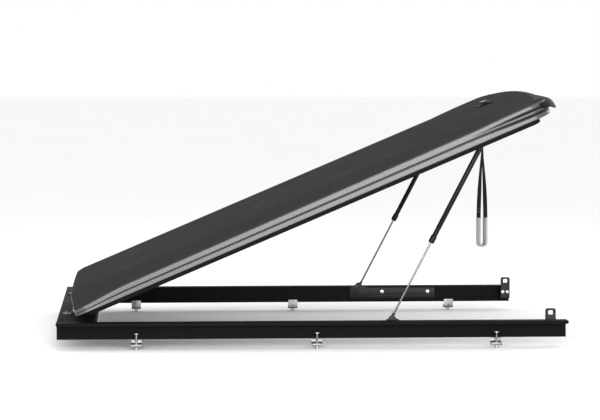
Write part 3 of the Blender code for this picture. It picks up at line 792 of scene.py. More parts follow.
def wall(obj: bpy.types.Object, thickness: float, inwards: bool) -> None:
    """Gives an open surface a wall.

    Args:
        obj: The piece.
        thickness: The wall's thickness.
        inwards: True to grow it against the faces' direction.
    """
    solid = obj.modifiers.new("wall", "SOLIDIFY")
    solid.thickness = thickness
    solid.offset = -1.0 if inwards else 1.0


# ---- lid ----


@dataclass
class LidForm:
    """The lid's outline and heights, in its own frame.

    Attributes:
        bow: How far the rear edge stands out at mid-width.
        front_corner: Radius of the front corners.
        rear_corner: Radius of the rear corners.
        crease_inset: How far the crease lies inside the outline.
        plateau: Height of the top at its sides.
        crown: How much higher it is at mid-width.
        corner_fall: How much lower the top is at the rear corners.
        crown_reach: How far to each side the crown runs.
        shoulder: Where, across the lid, the top begins to fall to the crease.
        front_fall: How much the top falls at its front edge.
        rear_fall: How much it falls at its rear edge.
        crease_front: Height of the crease in front.
        crease_nose: How much it climbs behind the front edge.
        crease_climb: How much it climbs along the sides.
        crease_kick: How much it climbs at the rear.
        corner_steps: Steps round each corner.
        length_steps: Steps between the corners along each side.
        across_steps: Steps across.
    """

    bow: float = 0.030
    front_corner: float = 0.050
    rear_corner: float = 0.075
    crease_inset: float = 0.007
    plateau: float = 0.067
    crown: float = 0.009
    corner_fall: float = 0.010
    crown_reach: float = 0.80
    shoulder: float = 0.56
    front_fall: float = 0.005
    rear_fall: float = 0.006
    crease_front: float = 0.025
    crease_nose: float = 0.014
    crease_climb: float = 0.016
    crease_kick: float = 0.012
    corner_steps: int = 10
    length_steps: int = 96
    across_steps: int = 64

    def __post_init__(self) -> None:
        """Reads the outline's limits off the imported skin."""
        low, high = box_in("lid_skin", LID)
        self.front = low.x
        self.rear = high.x - self.bow
        self.half = high.y

    def rows(self, inset: float) -> list[Point]:
        """Lays stations down the lid.

        Args:
            inset: How far inside the outline they lie.

        Returns:
            The U and half width of each.
        """
        front, rear, half = self.front + inset, self.rear - inset, self.half - inset
        front_radius = max(self.front_corner - inset, 0.006)
        rear_radius = max(self.rear_corner - inset, 0.006)
        rows = []
        for k in range(self.corner_steps + 1):
            a = math.radians(90.0 * (1.0 - k / self.corner_steps))
            u = front + front_radius * (1.0 - math.sin(a))
            rows.append((u, half - front_radius * (1.0 - math.cos(a))))
        start, end = front + front_radius, rear - rear_radius
        rows += [(start + (end - start) * k / self.length_steps, half) for k in range(1, self.length_steps)]
        for k in range(self.corner_steps + 1):
            a = math.radians(90.0 * k / self.corner_steps)
            rows.append((end + rear_radius * math.sin(a), half - rear_radius * (1.0 - math.cos(a))))
        return rows

    def point(self, rows: Sequence[Point], row: int, column: int) -> Vector:
        """Finds a point of the lid's grid.

        Args:
            rows: The stations.
            row: Which station.
            column: Which step across; they crowd towards the sides.

        Returns:
            Its U and V.
        """
        u, half = rows[row]
        s = 2.0 * column / self.across_steps - 1.0
        v = half * s * (1.4 - 0.4 * s * s)
        bow = self.bow * (1.0 - (v / self.half) ** 2) * smooth(u, 1.40, self.rear)
        return Vector((u + bow, v))

    def loop(self, inset: float) -> list[Vector]:
        """Lays points once round the lid, right side first, then the rear, left and front.

        Args:
            inset: How far inside the outline they lie.

        Returns:
            The U and V of each.
        """
        rows = self.rows(inset)
        last, wide = len(rows) - 1, self.across_steps
        path = [(i, wide) for i in range(last)] + [(last, j) for j in range(wide, 0, -1)]
        path += [(i, 0) for i in range(last, 0, -1)] + [(0, j) for j in range(wide)]
        return [self.point(rows, *place) for place in path]

    def crease(self, u: float) -> float:
        """Height of the crease between top and skirt: low in front, kicked up at the rear."""
        rise = self.crease_front + self.crease_nose * smooth(u, 0.0, 0.25)
        return rise + self.crease_climb * u / 1.70 + self.crease_kick * smooth(u, 1.65, 1.93)

    def top(self, u: float, v: float) -> float:
        """Height of the top: a crowned plateau that falls to the crease along each side.

        Args:
            u: The place along the lid.
            v: The place across it.

        Returns:
            The height.
        """
        aside = abs(v) / self.crown_reach
        plateau = self.plateau + self.crown * max(0.0, 1.0 - aside**2)
        fall = self.rear_fall * smooth(u, 1.92, 1.985)
        fall += self.front_fall * (1.0 - smooth(u, self.front, 0.05))
        fall += self.corner_fall * smooth(u, 1.70, self.rear) * min(aside, 1.0) ** 2
        edge = smooth(abs(v), self.shoulder, self.half - self.crease_inset)
        return plateau * (1.0 - edge) + self.crease(u) * edge - fall


@dataclass
class LidSkin:
    """The skin: a grained top, and a skirt whose groove fans into two towards the rear corners.

    Attributes:
        form: The lid's shape.
        roll: How many rings round the crease.
        rings: How many rings down the skirt.
        fan_start: Where along the lid the groove begins to fan out.
        fan_end: Where it is fully open.
        full_groove: The groove depth at which its painted shade is full.
        drop: How far the roll over the crease falls.
        wall: The skin's thickness.
    """

    form: LidForm
    roll: int = 4
    rings: int = 46
    fan_start: float = 1.62
    fan_end: float = 1.88
    full_groove: float = 0.0050
    drop: float = 0.006
    wall: float = 0.0036

    def groove(self, share: float, middle: float, half: float, depth: float) -> float:
        """Depth of a soft groove at a share of the way down the skirt."""
        away = (share - middle) / half
        return depth * max(0.0, 1.0 - away * away) ** 2

    def inset(self, u: float, share: float, wrap: float) -> float:
        """Gives how far the skirt lies inside the outline.

        Args:
            u: The place along the lid.
            share: How far down the skirt, from 0 to 1.
            wrap: 1 on the lid's sides, falling to 0 round the rear.

        Returns:
            The inset.
        """
        fan = smooth(u, self.fan_start, self.fan_end)
        lower = self.groove(share, 0.47 + 0.15 * fan, 0.100 + 0.020 * fan, 0.0034 + 0.0028 * fan)
        upper = self.groove(share, 0.27 + 0.02 * fan, 0.030 + 0.090 * fan, 0.0060 * fan)
        hem = 0.0022 * smooth(share, 0.94, 1.0)
        return 0.0018 * (1.0 - share) + (lower + upper) * wrap + hem

    def build(self) -> None:
        """Builds the skin: a grid for the top, with the skirt drawn down from its edge."""
        form = self.form
        outer, crease = form.rows(0.0), form.rows(form.crease_inset)
        last = len(crease) - 1
        work = Work(LID)
        bm = work.bm
        bmesh.ops.create_grid(bm, x_segments=last, y_segments=form.across_steps, size=1.0)
        skirt = bm.verts.layers.float.new("skirt")
        hollow = bm.verts.layers.float.new("hollow")
        edge_of = {}
        for vert in bm.verts:
            row = round((vert.co.x + 1.0) / 2.0 * last)
            column = round((vert.co.y + 1.0) / 2.0 * form.across_steps)
            at = form.point(crease, row, column)
            vert.co = (*at, form.top(*at))
            if vert.is_boundary:
                past = max(0, row - (last - form.corner_steps)) / form.corner_steps
                wrap = (1.0 - smooth(past, 0.35, 0.95)) * (0.0 if row == last else 1.0)
                edge_of[vert] = (form.point(outer, row, column), at, vert.co.z, wrap)
        edges = [edge for edge in bm.edges if edge.is_boundary]
        for ring in range(1, self.roll + self.rings + 1):
            points, edges = drawn(bm, edges)
            below = {}
            turn = min(ring / self.roll, 1.0) * math.pi / 2
            share = max(0, ring - self.roll) / self.rings
            for vert in points:
                outline, inner, height, wrap = below[vert] = edge_of[drawn_from(vert, edge_of)]
                brow = self.inset(inner.x, 0.0, wrap)
                rolled = form.crease_inset + (brow - form.crease_inset) * math.sin(turn)
                inset = rolled if share == 0.0 else self.inset(inner.x, share, wrap)
                at = outline.lerp(inner, inset / form.crease_inset)
                lowered = self.drop * (1.0 - math.cos(turn))
                vert.co = (*at, (height - lowered) * (1.0 - share))
                vert[skirt] = smooth(ring, 0.0, self.roll)
                # hollow: the groove's depth share, which sets the painted shade in the grooves
                plain = self.inset(inner.x, share, 0.0)
                vert[hollow] = min((self.inset(inner.x, share, wrap) - plain) / self.full_groove, 1.0)
            edge_of = below
        turn_up(bm)
        skin = work.piece("cover_skin", "grained_skin", "lid", "lid_skin")
        wall(skin, self.wall, inwards=True)


@dataclass
class Liner:
    """The panel that closes the lid from below, with moulded stiffening pads and its screws.

    Attributes:
        form: The lid's shape.
        inset: How far inside the lid's outline its edge lies.
        flange: The flat flange's width.
        slope: The width of the slope up to the pan.
        wall: The panel's thickness.
        pad_depth: How far the stiffening pads stand down.
        pad_rows: How many pads along the lid.
        pad_columns: How many across it.
        pad_gap: The gap between them.
        pad_field: Where the pads begin and end along the lid, and how far they reach to each side.
        side_screws: How many screws run down each side.
    """

    form: LidForm
    inset: float = 0.0065
    flange: float = 0.070
    slope: float = 0.014
    wall: float = 0.0025
    pad_depth: float = 0.007
    pad_rows: int = 4
    pad_columns: int = 3
    pad_gap: float = 0.055
    pad_field: tuple[float, float, float] = (0.17, 1.62, 0.66)
    side_screws: int = 9

    def build(self) -> None:
        """Builds the panel, its pads and the screws round its flange."""
        low, high = box_in("lid_liner", LID)
        under, pan = low.z, high.z - 0.003
        self.panel(under, pan)
        self.pads(pan)
        self.screws(under)

    def panel(self, under: float, pan: float) -> None:
        """Builds the panel: rings drawn inwards from its edge, then filled.

        Args:
            under: The flange's height.
            pan: The pan's height.
        """
        work = Work(LID)
        bm = work.bm
        turns = 5
        stations = [(0.0, under)]
        for k in range(turns + 1):
            share = k / turns
            height = under + (pan - under) * smooth(share, 0.0, 1.0)
            stations.append((self.flange + self.slope * share, height))
        loop = self.form.loop(self.inset)
        ring = [bm.verts.new((*at, under)) for at in loop]
        place = {vert: number for number, vert in enumerate(ring)}
        edges = [bm.edges.new(pair) for pair in zip(ring, ring[1:] + ring[:1])]
        for inset, height in stations[1:]:
            loop = self.form.loop(self.inset + inset)
            points, edges = drawn(bm, edges)
            below = {}
            for vert in points:
                below[vert] = place[drawn_from(vert, place)]
                vert.co = (*loop[below[vert]], height)
            place = below
        bmesh.ops.contextual_create(bm, geom=edges)
        turn_up(bm)
        panel = work.piece("liner_panel", "liner_panel", "lid", "lid_liner")
        wall(panel, self.wall, inwards=False)

    def pads(self, pan: float) -> None:
        """Builds the stiffening pads, clear of the latch rods and the struts' heads.

        Args:
            pan: The height that they stand down from.
        """
        work = Work(LID)
        start, end, side = self.pad_field
        gap = self.pad_gap
        long = (end - start - gap * (self.pad_rows - 1)) / self.pad_rows
        wide = (2 * side - gap * (self.pad_columns - 1)) / self.pad_columns
        for row in range(self.pad_rows):
            for column in range(self.pad_columns):
                u = start + row * (long + gap)
                v = -side + column * (wide + gap)
                outline = rounded((u, v), (u + long, v + wide), 0.035, 8)
                place = Matrix.Translation((0, 0, pan - self.pad_depth / 2 + 0.001))
                work.plate([outline], self.pad_depth, place, 0.0045)
        work.piece("liner_pads", "liner_panel", "lid")

    def screws(self, under: float) -> None:
        """Builds the screws through the liner's flange, just inside the seal.

        Args:
            under: The flange's height.
        """
        work = Work(LID)
        places = [(0.12 + 0.21 * k, side.value * 0.788) for side in Side for k in range(self.side_screws)]
        places += [(u, 0.26 * k) for k in range(-2, 3) for u in (0.083, self.form.rear - 0.078)]
        for u, v in places:
            work.turned(self.head(), axes((u, v, under), (1, 0, 0), (0, -1, 0)), 20)
        work.piece("liner_screws", "black_steel", "lid")

    def head(self) -> list[Point]:
        """Gives a screw head's profile: a low dome with a sunk middle."""
        middle = [(0.0, 0.0008), (0.0016, 0.0010), (0.0020, 0.0020)]
        return middle + [(0.0038, 0.0018), (0.0050, 0.0006), (0.0052, 0.0)]


@dataclass
class BulbSeal:
    """One bulb seal round the liner's flange, with turned corners.

    Attributes:
        width: The foot's width.
        corner: The corners' radius.
    """

    width: float = 0.016
    corner: float = 0.030

    def section(self, height: float) -> list[Point]:
        """Draws the section: a flat foot with lips, a waist and a round bulb.

        Args:
            height: The seal's height.

        Returns:
            The outline, with Y down from the liner.
        """
        half = self.width / 2
        bulb = half * 0.96
        centre = (0.0, height - bulb)
        lip = [(half, 0.0), (half, 0.0018), (half * 0.72, 0.0036)]
        return [(-x, y) for x, y in lip] + arc(centre, bulb, 205.0, -25.0, 18) + lip[::-1]

    def build(self) -> None:
        """Builds the seal along a round-cornered path."""
        low, top = box_in("seal_left", LID)
        right = box_in("seal_right", LID)[1].y
        half = self.width / 2
        path = rounded((low.x + half, low.y + half), (top.x - half, right - half), self.corner, 10)
        places = []
        for before, here, after in zip(path[-1:] + path[:-1], path, path[1:] + path[:1]):
            along = Vector((after[0] - before[0], after[1] - before[1], 0.0)).normalized()
            out = along.cross(Vector((0, 0, 1)))
            places.append(axes((*here, top.z), out, (0, 0, -1)))
        work = Work(LID)
        work.sweep(self.section(top.z - low.z), places, closed=True)
        work.piece("bulb_seal", "seal_rubber", "lid", "seal_left", "seal_right", "seal_front", "seal_rear")


@dataclass
class RearLip:
    """The dark lip that hooks down behind the trailing edge, faired in at the corners.

    Attributes:
        form: The lid's shape.
        taper: How much smaller it is at its two ends.
        root: The height at which it grows from the skirt.
        cap_middle: The width of the cap over the edge, at mid-width.
        cap_swell: How much wider the cap is at its ends.
        cap_rise: How far the cap stands over the skin.
        cap_hem: How far it turns down behind.
        cap_steps: Steps across its flat part, and round its turn.
    """

    form: LidForm
    taper: float = 0.52
    root: float = 0.050
    cap_middle: float = 0.012
    cap_swell: float = 0.030
    cap_rise: float = 0.0016
    cap_hem: float = 0.020
    cap_steps: tuple[int, int] = (8, 4)

    def section(self) -> list[Point]:
        """Draws the section.

        Returns:
            The outline, with X out from the rear wall and Y up.
        """
        roof = [(-0.001, 0.051), (0.008, 0.053), (0.016, 0.051), (0.024, 0.0455), (0.030, 0.037)]
        nose = [(0.034, 0.027), (0.0365, 0.015), (0.037, 0.004), (0.0362, -0.001), (0.0338, -0.0022)]
        under = [(0.0312, -0.0005), (0.0300, 0.008), (0.0280, 0.018), (0.0235, 0.0275), (0.0160, 0.035)]
        return roof + nose + under + [(0.0080, 0.0385), (-0.001, 0.0390)]

    def build(self) -> None:
        """Builds the lip along the rear edge and round both corners."""
        form = self.form
        loop = form.loop(0.0)
        last = len(form.rows(0.0)) - 1
        corner = round(form.corner_steps * 0.6)
        path = loop[last - corner : last + form.across_steps + corner + 1]
        places = []
        root = Matrix.Translation((0, self.root, 0))
        for k, at in enumerate(path):
            along = (path[min(k + 1, len(path) - 1)] - path[max(k - 1, 0)]).normalized()
            out = Vector((-along.y, along.x, 0.0))
            from_end = min(k, len(path) - 1 - k)
            reach = 1.0 - self.taper * (1.0 - smooth(from_end, 0.0, corner + 12))
            sized = root @ Matrix.Diagonal((reach, reach, 1.0, 1.0)) @ root.inverted()
            places.append(axes((*at, 0.0), out, (0, 0, 1)) @ sized)
        work = Work(LID)
        work.sweep(self.section(), places)
        work.piece("trailing_lip", "trim_plastic", "lid", "rear_lip")
        self.cap()

    def cap_row(self, step: int) -> list[Vector]:
        """Lays the points across the cap one step from its front edge; the last rows turn down behind.

        Args:
            step: Which row.

        Returns:
            The points, from side to side.
        """
        form = self.form
        outline, crease = form.rows(0.0), form.rows(form.crease_inset)
        last = len(crease) - 1
        flat, turns = self.cap_steps
        points = []
        for column in range(2, form.across_steps - 1):
            edge = form.point(crease, last, column)
            share = abs(edge.y) / form.half
            width = self.cap_middle + self.cap_swell * share * share * share
            if step <= flat:
                at = edge - Vector((width * (1.0 - step / flat), 0.0))
                points.append(Vector((*at, form.top(*at) + self.cap_rise)))
            else:
                rear = form.point(outline, last, column)
                turn = (step - flat) / turns * math.pi / 2
                at = edge.lerp(rear, math.sin(turn) * 1.12)
                drop = self.cap_hem * (1.0 - math.cos(turn))
                points.append(Vector((*at, form.top(*edge) + self.cap_rise - drop)))
        return points

    def cap(self) -> None:
        """Builds the dark cap over the top's rear edge: narrow in the middle, with swept ends."""
        work = Work(LID)
        bm = work.bm
        row = [bm.verts.new(point) for point in self.cap_row(0)]
        edges = [bm.edges.new(pair) for pair in zip(row, row[1:])]
        number = {vert: k for k, vert in enumerate(row)}
        for step in range(1, sum(self.cap_steps) + 1):
            points, edges = drawn(bm, edges)
            below = {}
            row = self.cap_row(step)
            for vert in points:
                below[vert] = number[drawn_from(vert, number)]
                vert.co = row[below[vert]]
            number = below
        if sum(face.normal.z for face in bm.faces) < 0:
            bmesh.ops.reverse_faces(bm, faces=bm.faces)
        cap = work.piece("edge_cap", "trim_plastic", "lid")
        wall(cap, 0.0014, inwards=True)


# ---- latch ----


@dataclass
class Latch:
    """The turning handle, its bezel and lock, and the cam, rods and guides under the lid.

    Attributes:
        bolt: The thread radius of the latch's screws.
        rod_offset: How far each rod lies in front of or behind the shaft.
    """

    bolt: float = 0.0025
    rod_offset: float = 0.017

    def __post_init__(self) -> None:
        """Finds the handle's shaft and the level of the bezel."""
        self.shaft = LID.inverted() @ Vector(JOINTS["handle_turn"]["pos_m"])
        self.bezel_low, self.bezel_high = box_in("handle_bezel", LID)

    def stadium(self, radius: float, reach: float) -> list[Point]:
        """Draws an outline with two round ends.

        Args:
            radius: The ends' radius.
            reach: How far each end's centre lies from the middle.

        Returns:
            The outline round the shaft.
        """
        u = self.shaft.x
        return arc((u, reach), radius, 0.0, 180.0, 20) + arc((u, -reach), radius, 180.0, 360.0, 20)

    def build(self) -> None:
        """Builds the whole latch."""
        self.bezel()
        self.handle()
        self.cam()
        self.housing()
        for side in Side:
            self.rod(side)
            self.guide(side)

    def bezel(self) -> None:
        """Builds the bezel: a bevelled plate with a raised rim."""
        low, high = self.bezel_low.z, self.bezel_high.z
        thick = high - low
        work = Work(LID)
        base = Matrix.Translation((0, 0, low + thick * 0.35))
        work.plate([self.stadium(0.032, 0.043)], thick * 0.7, base, 0.0008)
        rim = Matrix.Translation((0, 0, low + thick / 2 + 0.0002))
        work.plate([self.stadium(0.0305, 0.043), self.stadium(0.0270, 0.043)[::-1]], thick, rim, 0.0007)
        for v in (-0.064, 0.064):
            work.turned(
                [(0.0, thick * 0.75), (0.002, thick * 0.8), (0.0036, thick * 0.95), (0.0042, thick * 0.7)],
                Matrix.Translation((self.shaft.x, v, low)), 20,
            )
        work.piece("latch_bezel", "trim_plastic", "lid", "handle_bezel")

    def handle(self) -> None:
        """Builds the waisted grip with its round boss and shaft, and the lock in it."""
        low, high = box_in("handle", LID)
        u, base = self.shaft.x, self.bezel_high.z + 0.0004
        top = high.z - 0.0008
        work = Work(LID)
        half, end, waist = high.y - 0.011, 0.0110, 0.0080
        outline = arc((u, half), end, -10.0, 190.0, 16)
        outline += [(u - waist, half * 0.45), (u - waist, -half * 0.45)]
        outline += arc((u, -half), end, 170.0, 370.0, 16)
        outline += [(u + waist, -half * 0.45), (u + waist, half * 0.45)]
        work.plate([outline], top - base, Matrix.Translation((0, 0, (top + base) / 2)), 0.0026)
        boss = high.z - base
        profile = [(0.0, 0.0), (0.0148, 0.0), (0.0148, boss * 0.6), (0.0136, boss), (0.0092, boss)]
        profile += [(0.0086, boss - 0.0006), (0.0086, boss - 0.0030), (0.0, boss - 0.0030)]
        work.turned(profile, Matrix.Translation((u, 0, base)), 48)
        work.bar((u, 0, low.z), (u, 0, base + 0.001), 0.006, 0.0006, 32)
        work.piece("latch_handle", "gloss_trim", "handle", "handle")
        lock_low, lock_high = box_in("lock_cylinder", LID)
        lock = Work(LID)
        radius = lock_high.y - 0.0002
        slot = rounded((-0.0009, -0.0042), (0.0009, 0.0042), 0.0008, 4)
        tall = lock_high.z - lock_low.z
        barrel = Matrix.Translation((u, 0, lock_low.z + tall / 2))
        lock.plate([circle(radius, 40), slot[::-1]], tall, barrel, 0.0005)
        lock.bar((u, 0, lock_low.z), (u, 0, lock_low.z + tall * 0.3), radius * 0.9)
        lock.piece("key_lock", "plated_steel", "lock", "lock_cylinder")

    def cam(self) -> None:
        """Builds the two-armed cam with its pins and the nut that holds it."""
        low, high = box_in("cam", LID)
        rods = {side: box_in(f"latch_rod_{side.word}", LID) for side in Side}
        reach = (high.y - low.y) / 2 - 0.008
        across = (high.x - low.x) / 2 - 0.008
        u = self.shaft.x
        turn = math.degrees(math.atan2(-reach, across))
        ends = arc((across, -reach), 0.008, turn - 90.0, turn + 90.0, 14)
        ends += arc((-across, reach), 0.008, turn + 90.0, turn + 270.0, 14)
        thick = 0.0036
        work = Work(LID)
        place = Matrix.Translation((u, 0, high.z - thick / 2 - 0.0002))
        work.plate([ends, circle(0.0062, 24)[::-1]], thick, place, 0.0007)
        foot = rods[Side.LEFT][0].z
        for sign in (1, -1):
            at = (u + sign * across, -sign * reach)
            work.bar((*at, foot), (*at, high.z - thick * 0.5), 0.0030, 0.0004, 24)
        work.bar((u, 0, low.z + 0.0065), (u, 0, high.z - thick), 0.0095, 0.0008, 6)
        work.piece("latch_cam", "plated_steel", "handle", "cam")

    def housing(self) -> None:
        """Builds the folded tray round the cam, with flanges and screws."""
        low, high = box_in("latch_housing", LID)
        sheet = 0.002
        work = Work(LID)
        flange, trim = 0.014, 0.004
        flange_low = (low.x - flange, low.y + trim, high.z - sheet)
        work.block(flange_low, (high.x + flange, high.y - trim, high.z), 0.0006)
        for x in (low.x, high.x - sheet):
            work.block((x, low.y, low.z), (x + sheet, high.y, high.z - sheet * 0.5), 0.0006)
        middle = self.shaft.x
        for y, side in ((low.y, Side.LEFT), (high.y - sheet, Side.RIGHT)):
            rod = middle + side.value * self.rod_offset
            for start, end in ((low.x, rod - 0.0065), (rod + 0.0065, high.x)):
                work.block((start, y, low.z), (end, y + sheet, high.z - sheet * 0.5), 0.0006)
            work.block((low.x, y, 0.0125), (high.x, y + sheet, high.z - sheet * 0.5), 0.0006)
        work.piece("cam_tray", "black_steel", "lid", "latch_housing")
        screws = Work(LID)
        for x in (low.x - 0.008, high.x + 0.008):
            for y in (-0.032, 0.032):
                screws.hex_bolt((x, y, high.z - sheet), (0, 0, -1), self.bolt, washer=False)
        screws.piece("tray_screws", "plated_steel", "lid")

    def rod(self, side: Side) -> None:
        """Builds a latch rod: a slotted yoke, a crimped neck, the bar and its tapered tip.

        Args:
            side: Its side of the truck.
        """
        node = f"latch_rod_{side.word}"
        low, high = box_in(node, LID)
        sign = side.value
        u, w = self.shaft.x + sign * self.rod_offset, ROD_LEVEL
        radius = 0.0039
        root, tip = (low.y, high.y) if sign > 0 else (high.y, low.y)
        work = Work(LID)
        near, far = sorted((root, root + sign * 0.023))
        outline = rounded((u - 0.011, near), (u + 0.011, far), 0.004, 5)
        slot_low, slot_high = sorted((root + sign * 0.0045, root + sign * 0.0135))
        slot = rounded((u - 0.0075, slot_low), (u + 0.0075, slot_high), 0.0040, 6)
        work.plate([outline, slot[::-1]], 0.006, Matrix.Translation((0, 0, w)), 0.0007)
        length = abs(tip - root)
        profile = [(0.0, 0.019), (0.0062, 0.019), (0.0062, 0.034), (radius, 0.037)]
        profile += [(radius, length - 0.006), (radius * 0.55, length - 0.0002), (0.0, length)]
        work.turned(profile, axes((u, root, w), (0, 0, sign), (1, 0, 0)), 24)
        work.piece(f"slide_rod_{side.word}", "plated_steel", node, node)

    def guide(self, side: Side) -> None:
        """Builds a rod guide: a saddle block with feet and a bushed hole.

        Args:
            side: Its side of the truck.
        """
        low, high = box_in(f"rod_guide_{side.word}", LID)
        u, y = (low.x + high.x) / 2, (low.y + high.y) / 2
        place = axes((u, y, ROD_LEVEL), (1, 0, 0), (0, 0, 1))
        over = high.z - ROD_LEVEL
        half = (high.x - low.x) / 2
        outline = [(half, over), (-half, over), (-half, over - 0.006), (-0.0095, over - 0.010)]
        outline += arc((0.0, 0.0), 0.0090, 180.0, 360.0, 16)
        outline += [(0.0095, over - 0.010), (half, over - 0.006)]
        work = Work(LID)
        work.plate([outline, circle(0.0045, 24)[::-1]], high.y - low.y, place, 0.0009)
        work.piece(f"guide_block_{side.word}", "trim_plastic", "lid", f"rod_guide_{side.word}")


# ---- struts ----


@dataclass
class Strut:
    """A gas strut: a ground rod in a painted tube, with a socket at each end and its two mounts.

    Attributes:
        side: Its side of the truck.
        tube_radius: The tube's radius.
        rod_radius: The rod's radius.
        eye: The sockets' radius.
    """

    side: Side
    tube_radius: float = 0.0095
    rod_radius: float = 0.0040
    eye: float = 0.0100

    def __post_init__(self) -> None:
        """Finds the strut's foot, its slope and its length."""
        word = self.side.word
        self.foot = Vector(JOINTS[f"strut_{word}_tilt"]["pos_m"])
        along = Vector(JOINTS[f"strut_{word}_stroke"]["axis"])
        self.line = axes(self.foot, Vector((0, 1, 0)).cross(along), (0, 1, 0))
        self.length = box_in(f"head_socket_{word}", self.line)[1].z - self.eye

    def build(self) -> None:
        """Builds the strut and both its mounts."""
        self.rod()
        self.tube()
        self.sockets()
        self.head_mount()
        self.foot_mount()

    def rod(self) -> None:
        """Builds the rod, with a threaded end in the foot socket."""
        node = f"strut_rod_{self.side.word}"
        low, high = box_in(node, self.line)
        radius = self.rod_radius
        profile = [(0.0, low.z), (radius * 0.9, low.z), (radius, low.z + 0.002)]
        profile += [(radius, high.z), (0.0, high.z)]
        work = Work()
        work.turned(profile, self.line, 40)
        work.piece(f"ground_rod_{self.side.word}", "ground_rod", node, node)

    def tube(self) -> None:
        """Builds the tube: a rolled top, a straight barrel, a beaded crimp and the wider gland."""
        node = f"strut_tube_{self.side.word}"
        low, high = box_in(node, self.line)
        r, bore = self.tube_radius, self.rod_radius + 0.0003
        start, end = low.z, high.z
        profile = [(0.0, end), (0.0055, end), (0.0060, end - 0.001), (0.0062, end - 0.003)]
        profile += [(0.0062 + (r - 0.0062) * math.sin(a), end - 0.003 - 0.006 * (1 - math.cos(a)))
                    for a in (0.4, 0.8, 1.2, math.pi / 2)]
        profile += [(r, start + 0.062), (r - 0.0011, start + 0.060), (r - 0.0011, start + 0.057)]
        profile += [(r, start + 0.055), (r, start + 0.034), (r - 0.0008, start + 0.032)]
        profile += [(r + 0.0016, start + 0.030), (r + 0.0020, start + 0.028), (r + 0.0020, start + 0.006)]
        profile += [(r + 0.0012, start + 0.002), (r - 0.0020, start), (bore + 0.0012, start)]
        profile += [(bore, start + 0.001), (bore, start + 0.014), (0.0, start + 0.014)]
        work = Work()
        work.turned(profile, self.line, 40)
        work.piece(f"gas_tube_{self.side.word}", "strut_paint", node, node)

    def sockets(self) -> None:
        """Builds the two ball sockets, each a round eye on a stepped neck, with a spring clip."""
        word = self.side.word
        half = 0.0068
        for name, node, body, at, way in (
            ("foot_eye", "foot_socket", "strut_rod", 0.0, 1.0),
            ("head_eye", "head_socket", "strut_tube", self.length, -1.0),
        ):
            place = self.line @ Matrix.Translation((0, 0, at)) @ Matrix.Diagonal((1.0, 1.0, way, 1.0))
            work = Work()
            across = place @ Matrix.Rotation(math.radians(-90.0), 4, "X")
            profile = [(0.0, -half), (0.0070, -half), (0.0088, -half + 0.0012), (self.eye, -half + 0.0035)]
            profile += [(self.eye, half - 0.0035), (0.0088, half - 0.0012), (0.0070, half), (0.0, half)]
            work.turned(profile, across, 32)
            neck = [(0.0, 0.004), (0.0066, 0.004), (0.0066, 0.0125), (0.0058, 0.0140)]
            neck += [(0.0058, 0.0215), (0.0052, 0.0224), (0.0, 0.0224)]
            work.turned(neck, place, 24)
            work.piece(f"{name}_{word}", "socket_plastic", f"{body}_{word}", f"{node}_{word}")
            clip = Work()
            wire = axes((self.eye + 0.0004, 0, 0), (1, 0, 0), (0, 0, 1))
            turns = [math.radians(-125.0 + 250.0 * k / 24) for k in range(25)]
            clip.sweep(circle(0.0006, 8), [across @ Matrix.Rotation(turn, 4, "Z") @ wire for turn in turns])
            clip.piece(f"{name}_clip_{word}", "plated_steel", f"{body}_{word}")

    def head_mount(self) -> None:
        """Builds the folded bracket under the lid, its ball stud and its screws."""
        word, sign = self.side.word, self.side.value
        low, high = box_in(f"head_bracket_{word}", LID)
        u = (low.x + high.x) / 2
        near, far = (low.y, high.y) if sign > 0 else (high.y, low.y)
        sheet = 0.003
        tab = far - sign * sheet
        head = LID.inverted() @ (self.line @ Vector((0, 0, self.length)))
        work = Work(LID)
        foot = Matrix.Translation((0, 0, high.z - sheet / 2))
        corners = sorted((near, far))
        work.plate([rounded((low.x, corners[0]), (high.x, corners[1]), 0.005, 5)], sheet, foot, 0.0007)
        upright = axes((u, tab + sign * sheet / 2, 0), (1, 0, 0), (0, 0, 1))
        half = (high.x - low.x) / 2
        outline = [(half, high.z - 0.001), (-half, high.z - 0.001), (-half, high.z - 0.006)]
        outline += arc((0.0, low.z + 0.011), 0.011, 205.0, 335.0, 12) + [(half, high.z - 0.006)]
        work.plate([outline], sheet, upright, 0.0007)
        work.piece(f"head_angle_{word}", "black_steel", "lid", f"head_bracket_{word}")
        stud = Work(LID)
        profile = [(0.0, -0.0032), (0.0075, -0.0032), (0.0075, 0.0000), (0.0050, 0.0006), (0.0038, 0.0016)]
        profile += [(0.0038, 0.0030), (0.0046, 0.0042), (0.0050, 0.0054), (0.0044, 0.0066), (0.0, 0.0070)]
        stud.turned(profile, facing((u, tab, head.z), (0, -sign, 0)), 28)
        for du in (-0.019, 0.019):
            stud.hex_bolt((u + du, near + sign * 0.009, high.z - sheet), (0, 0, -1), 0.0028, washer=False)
        stud.piece(f"head_stud_{word}", "plated_steel", "lid")

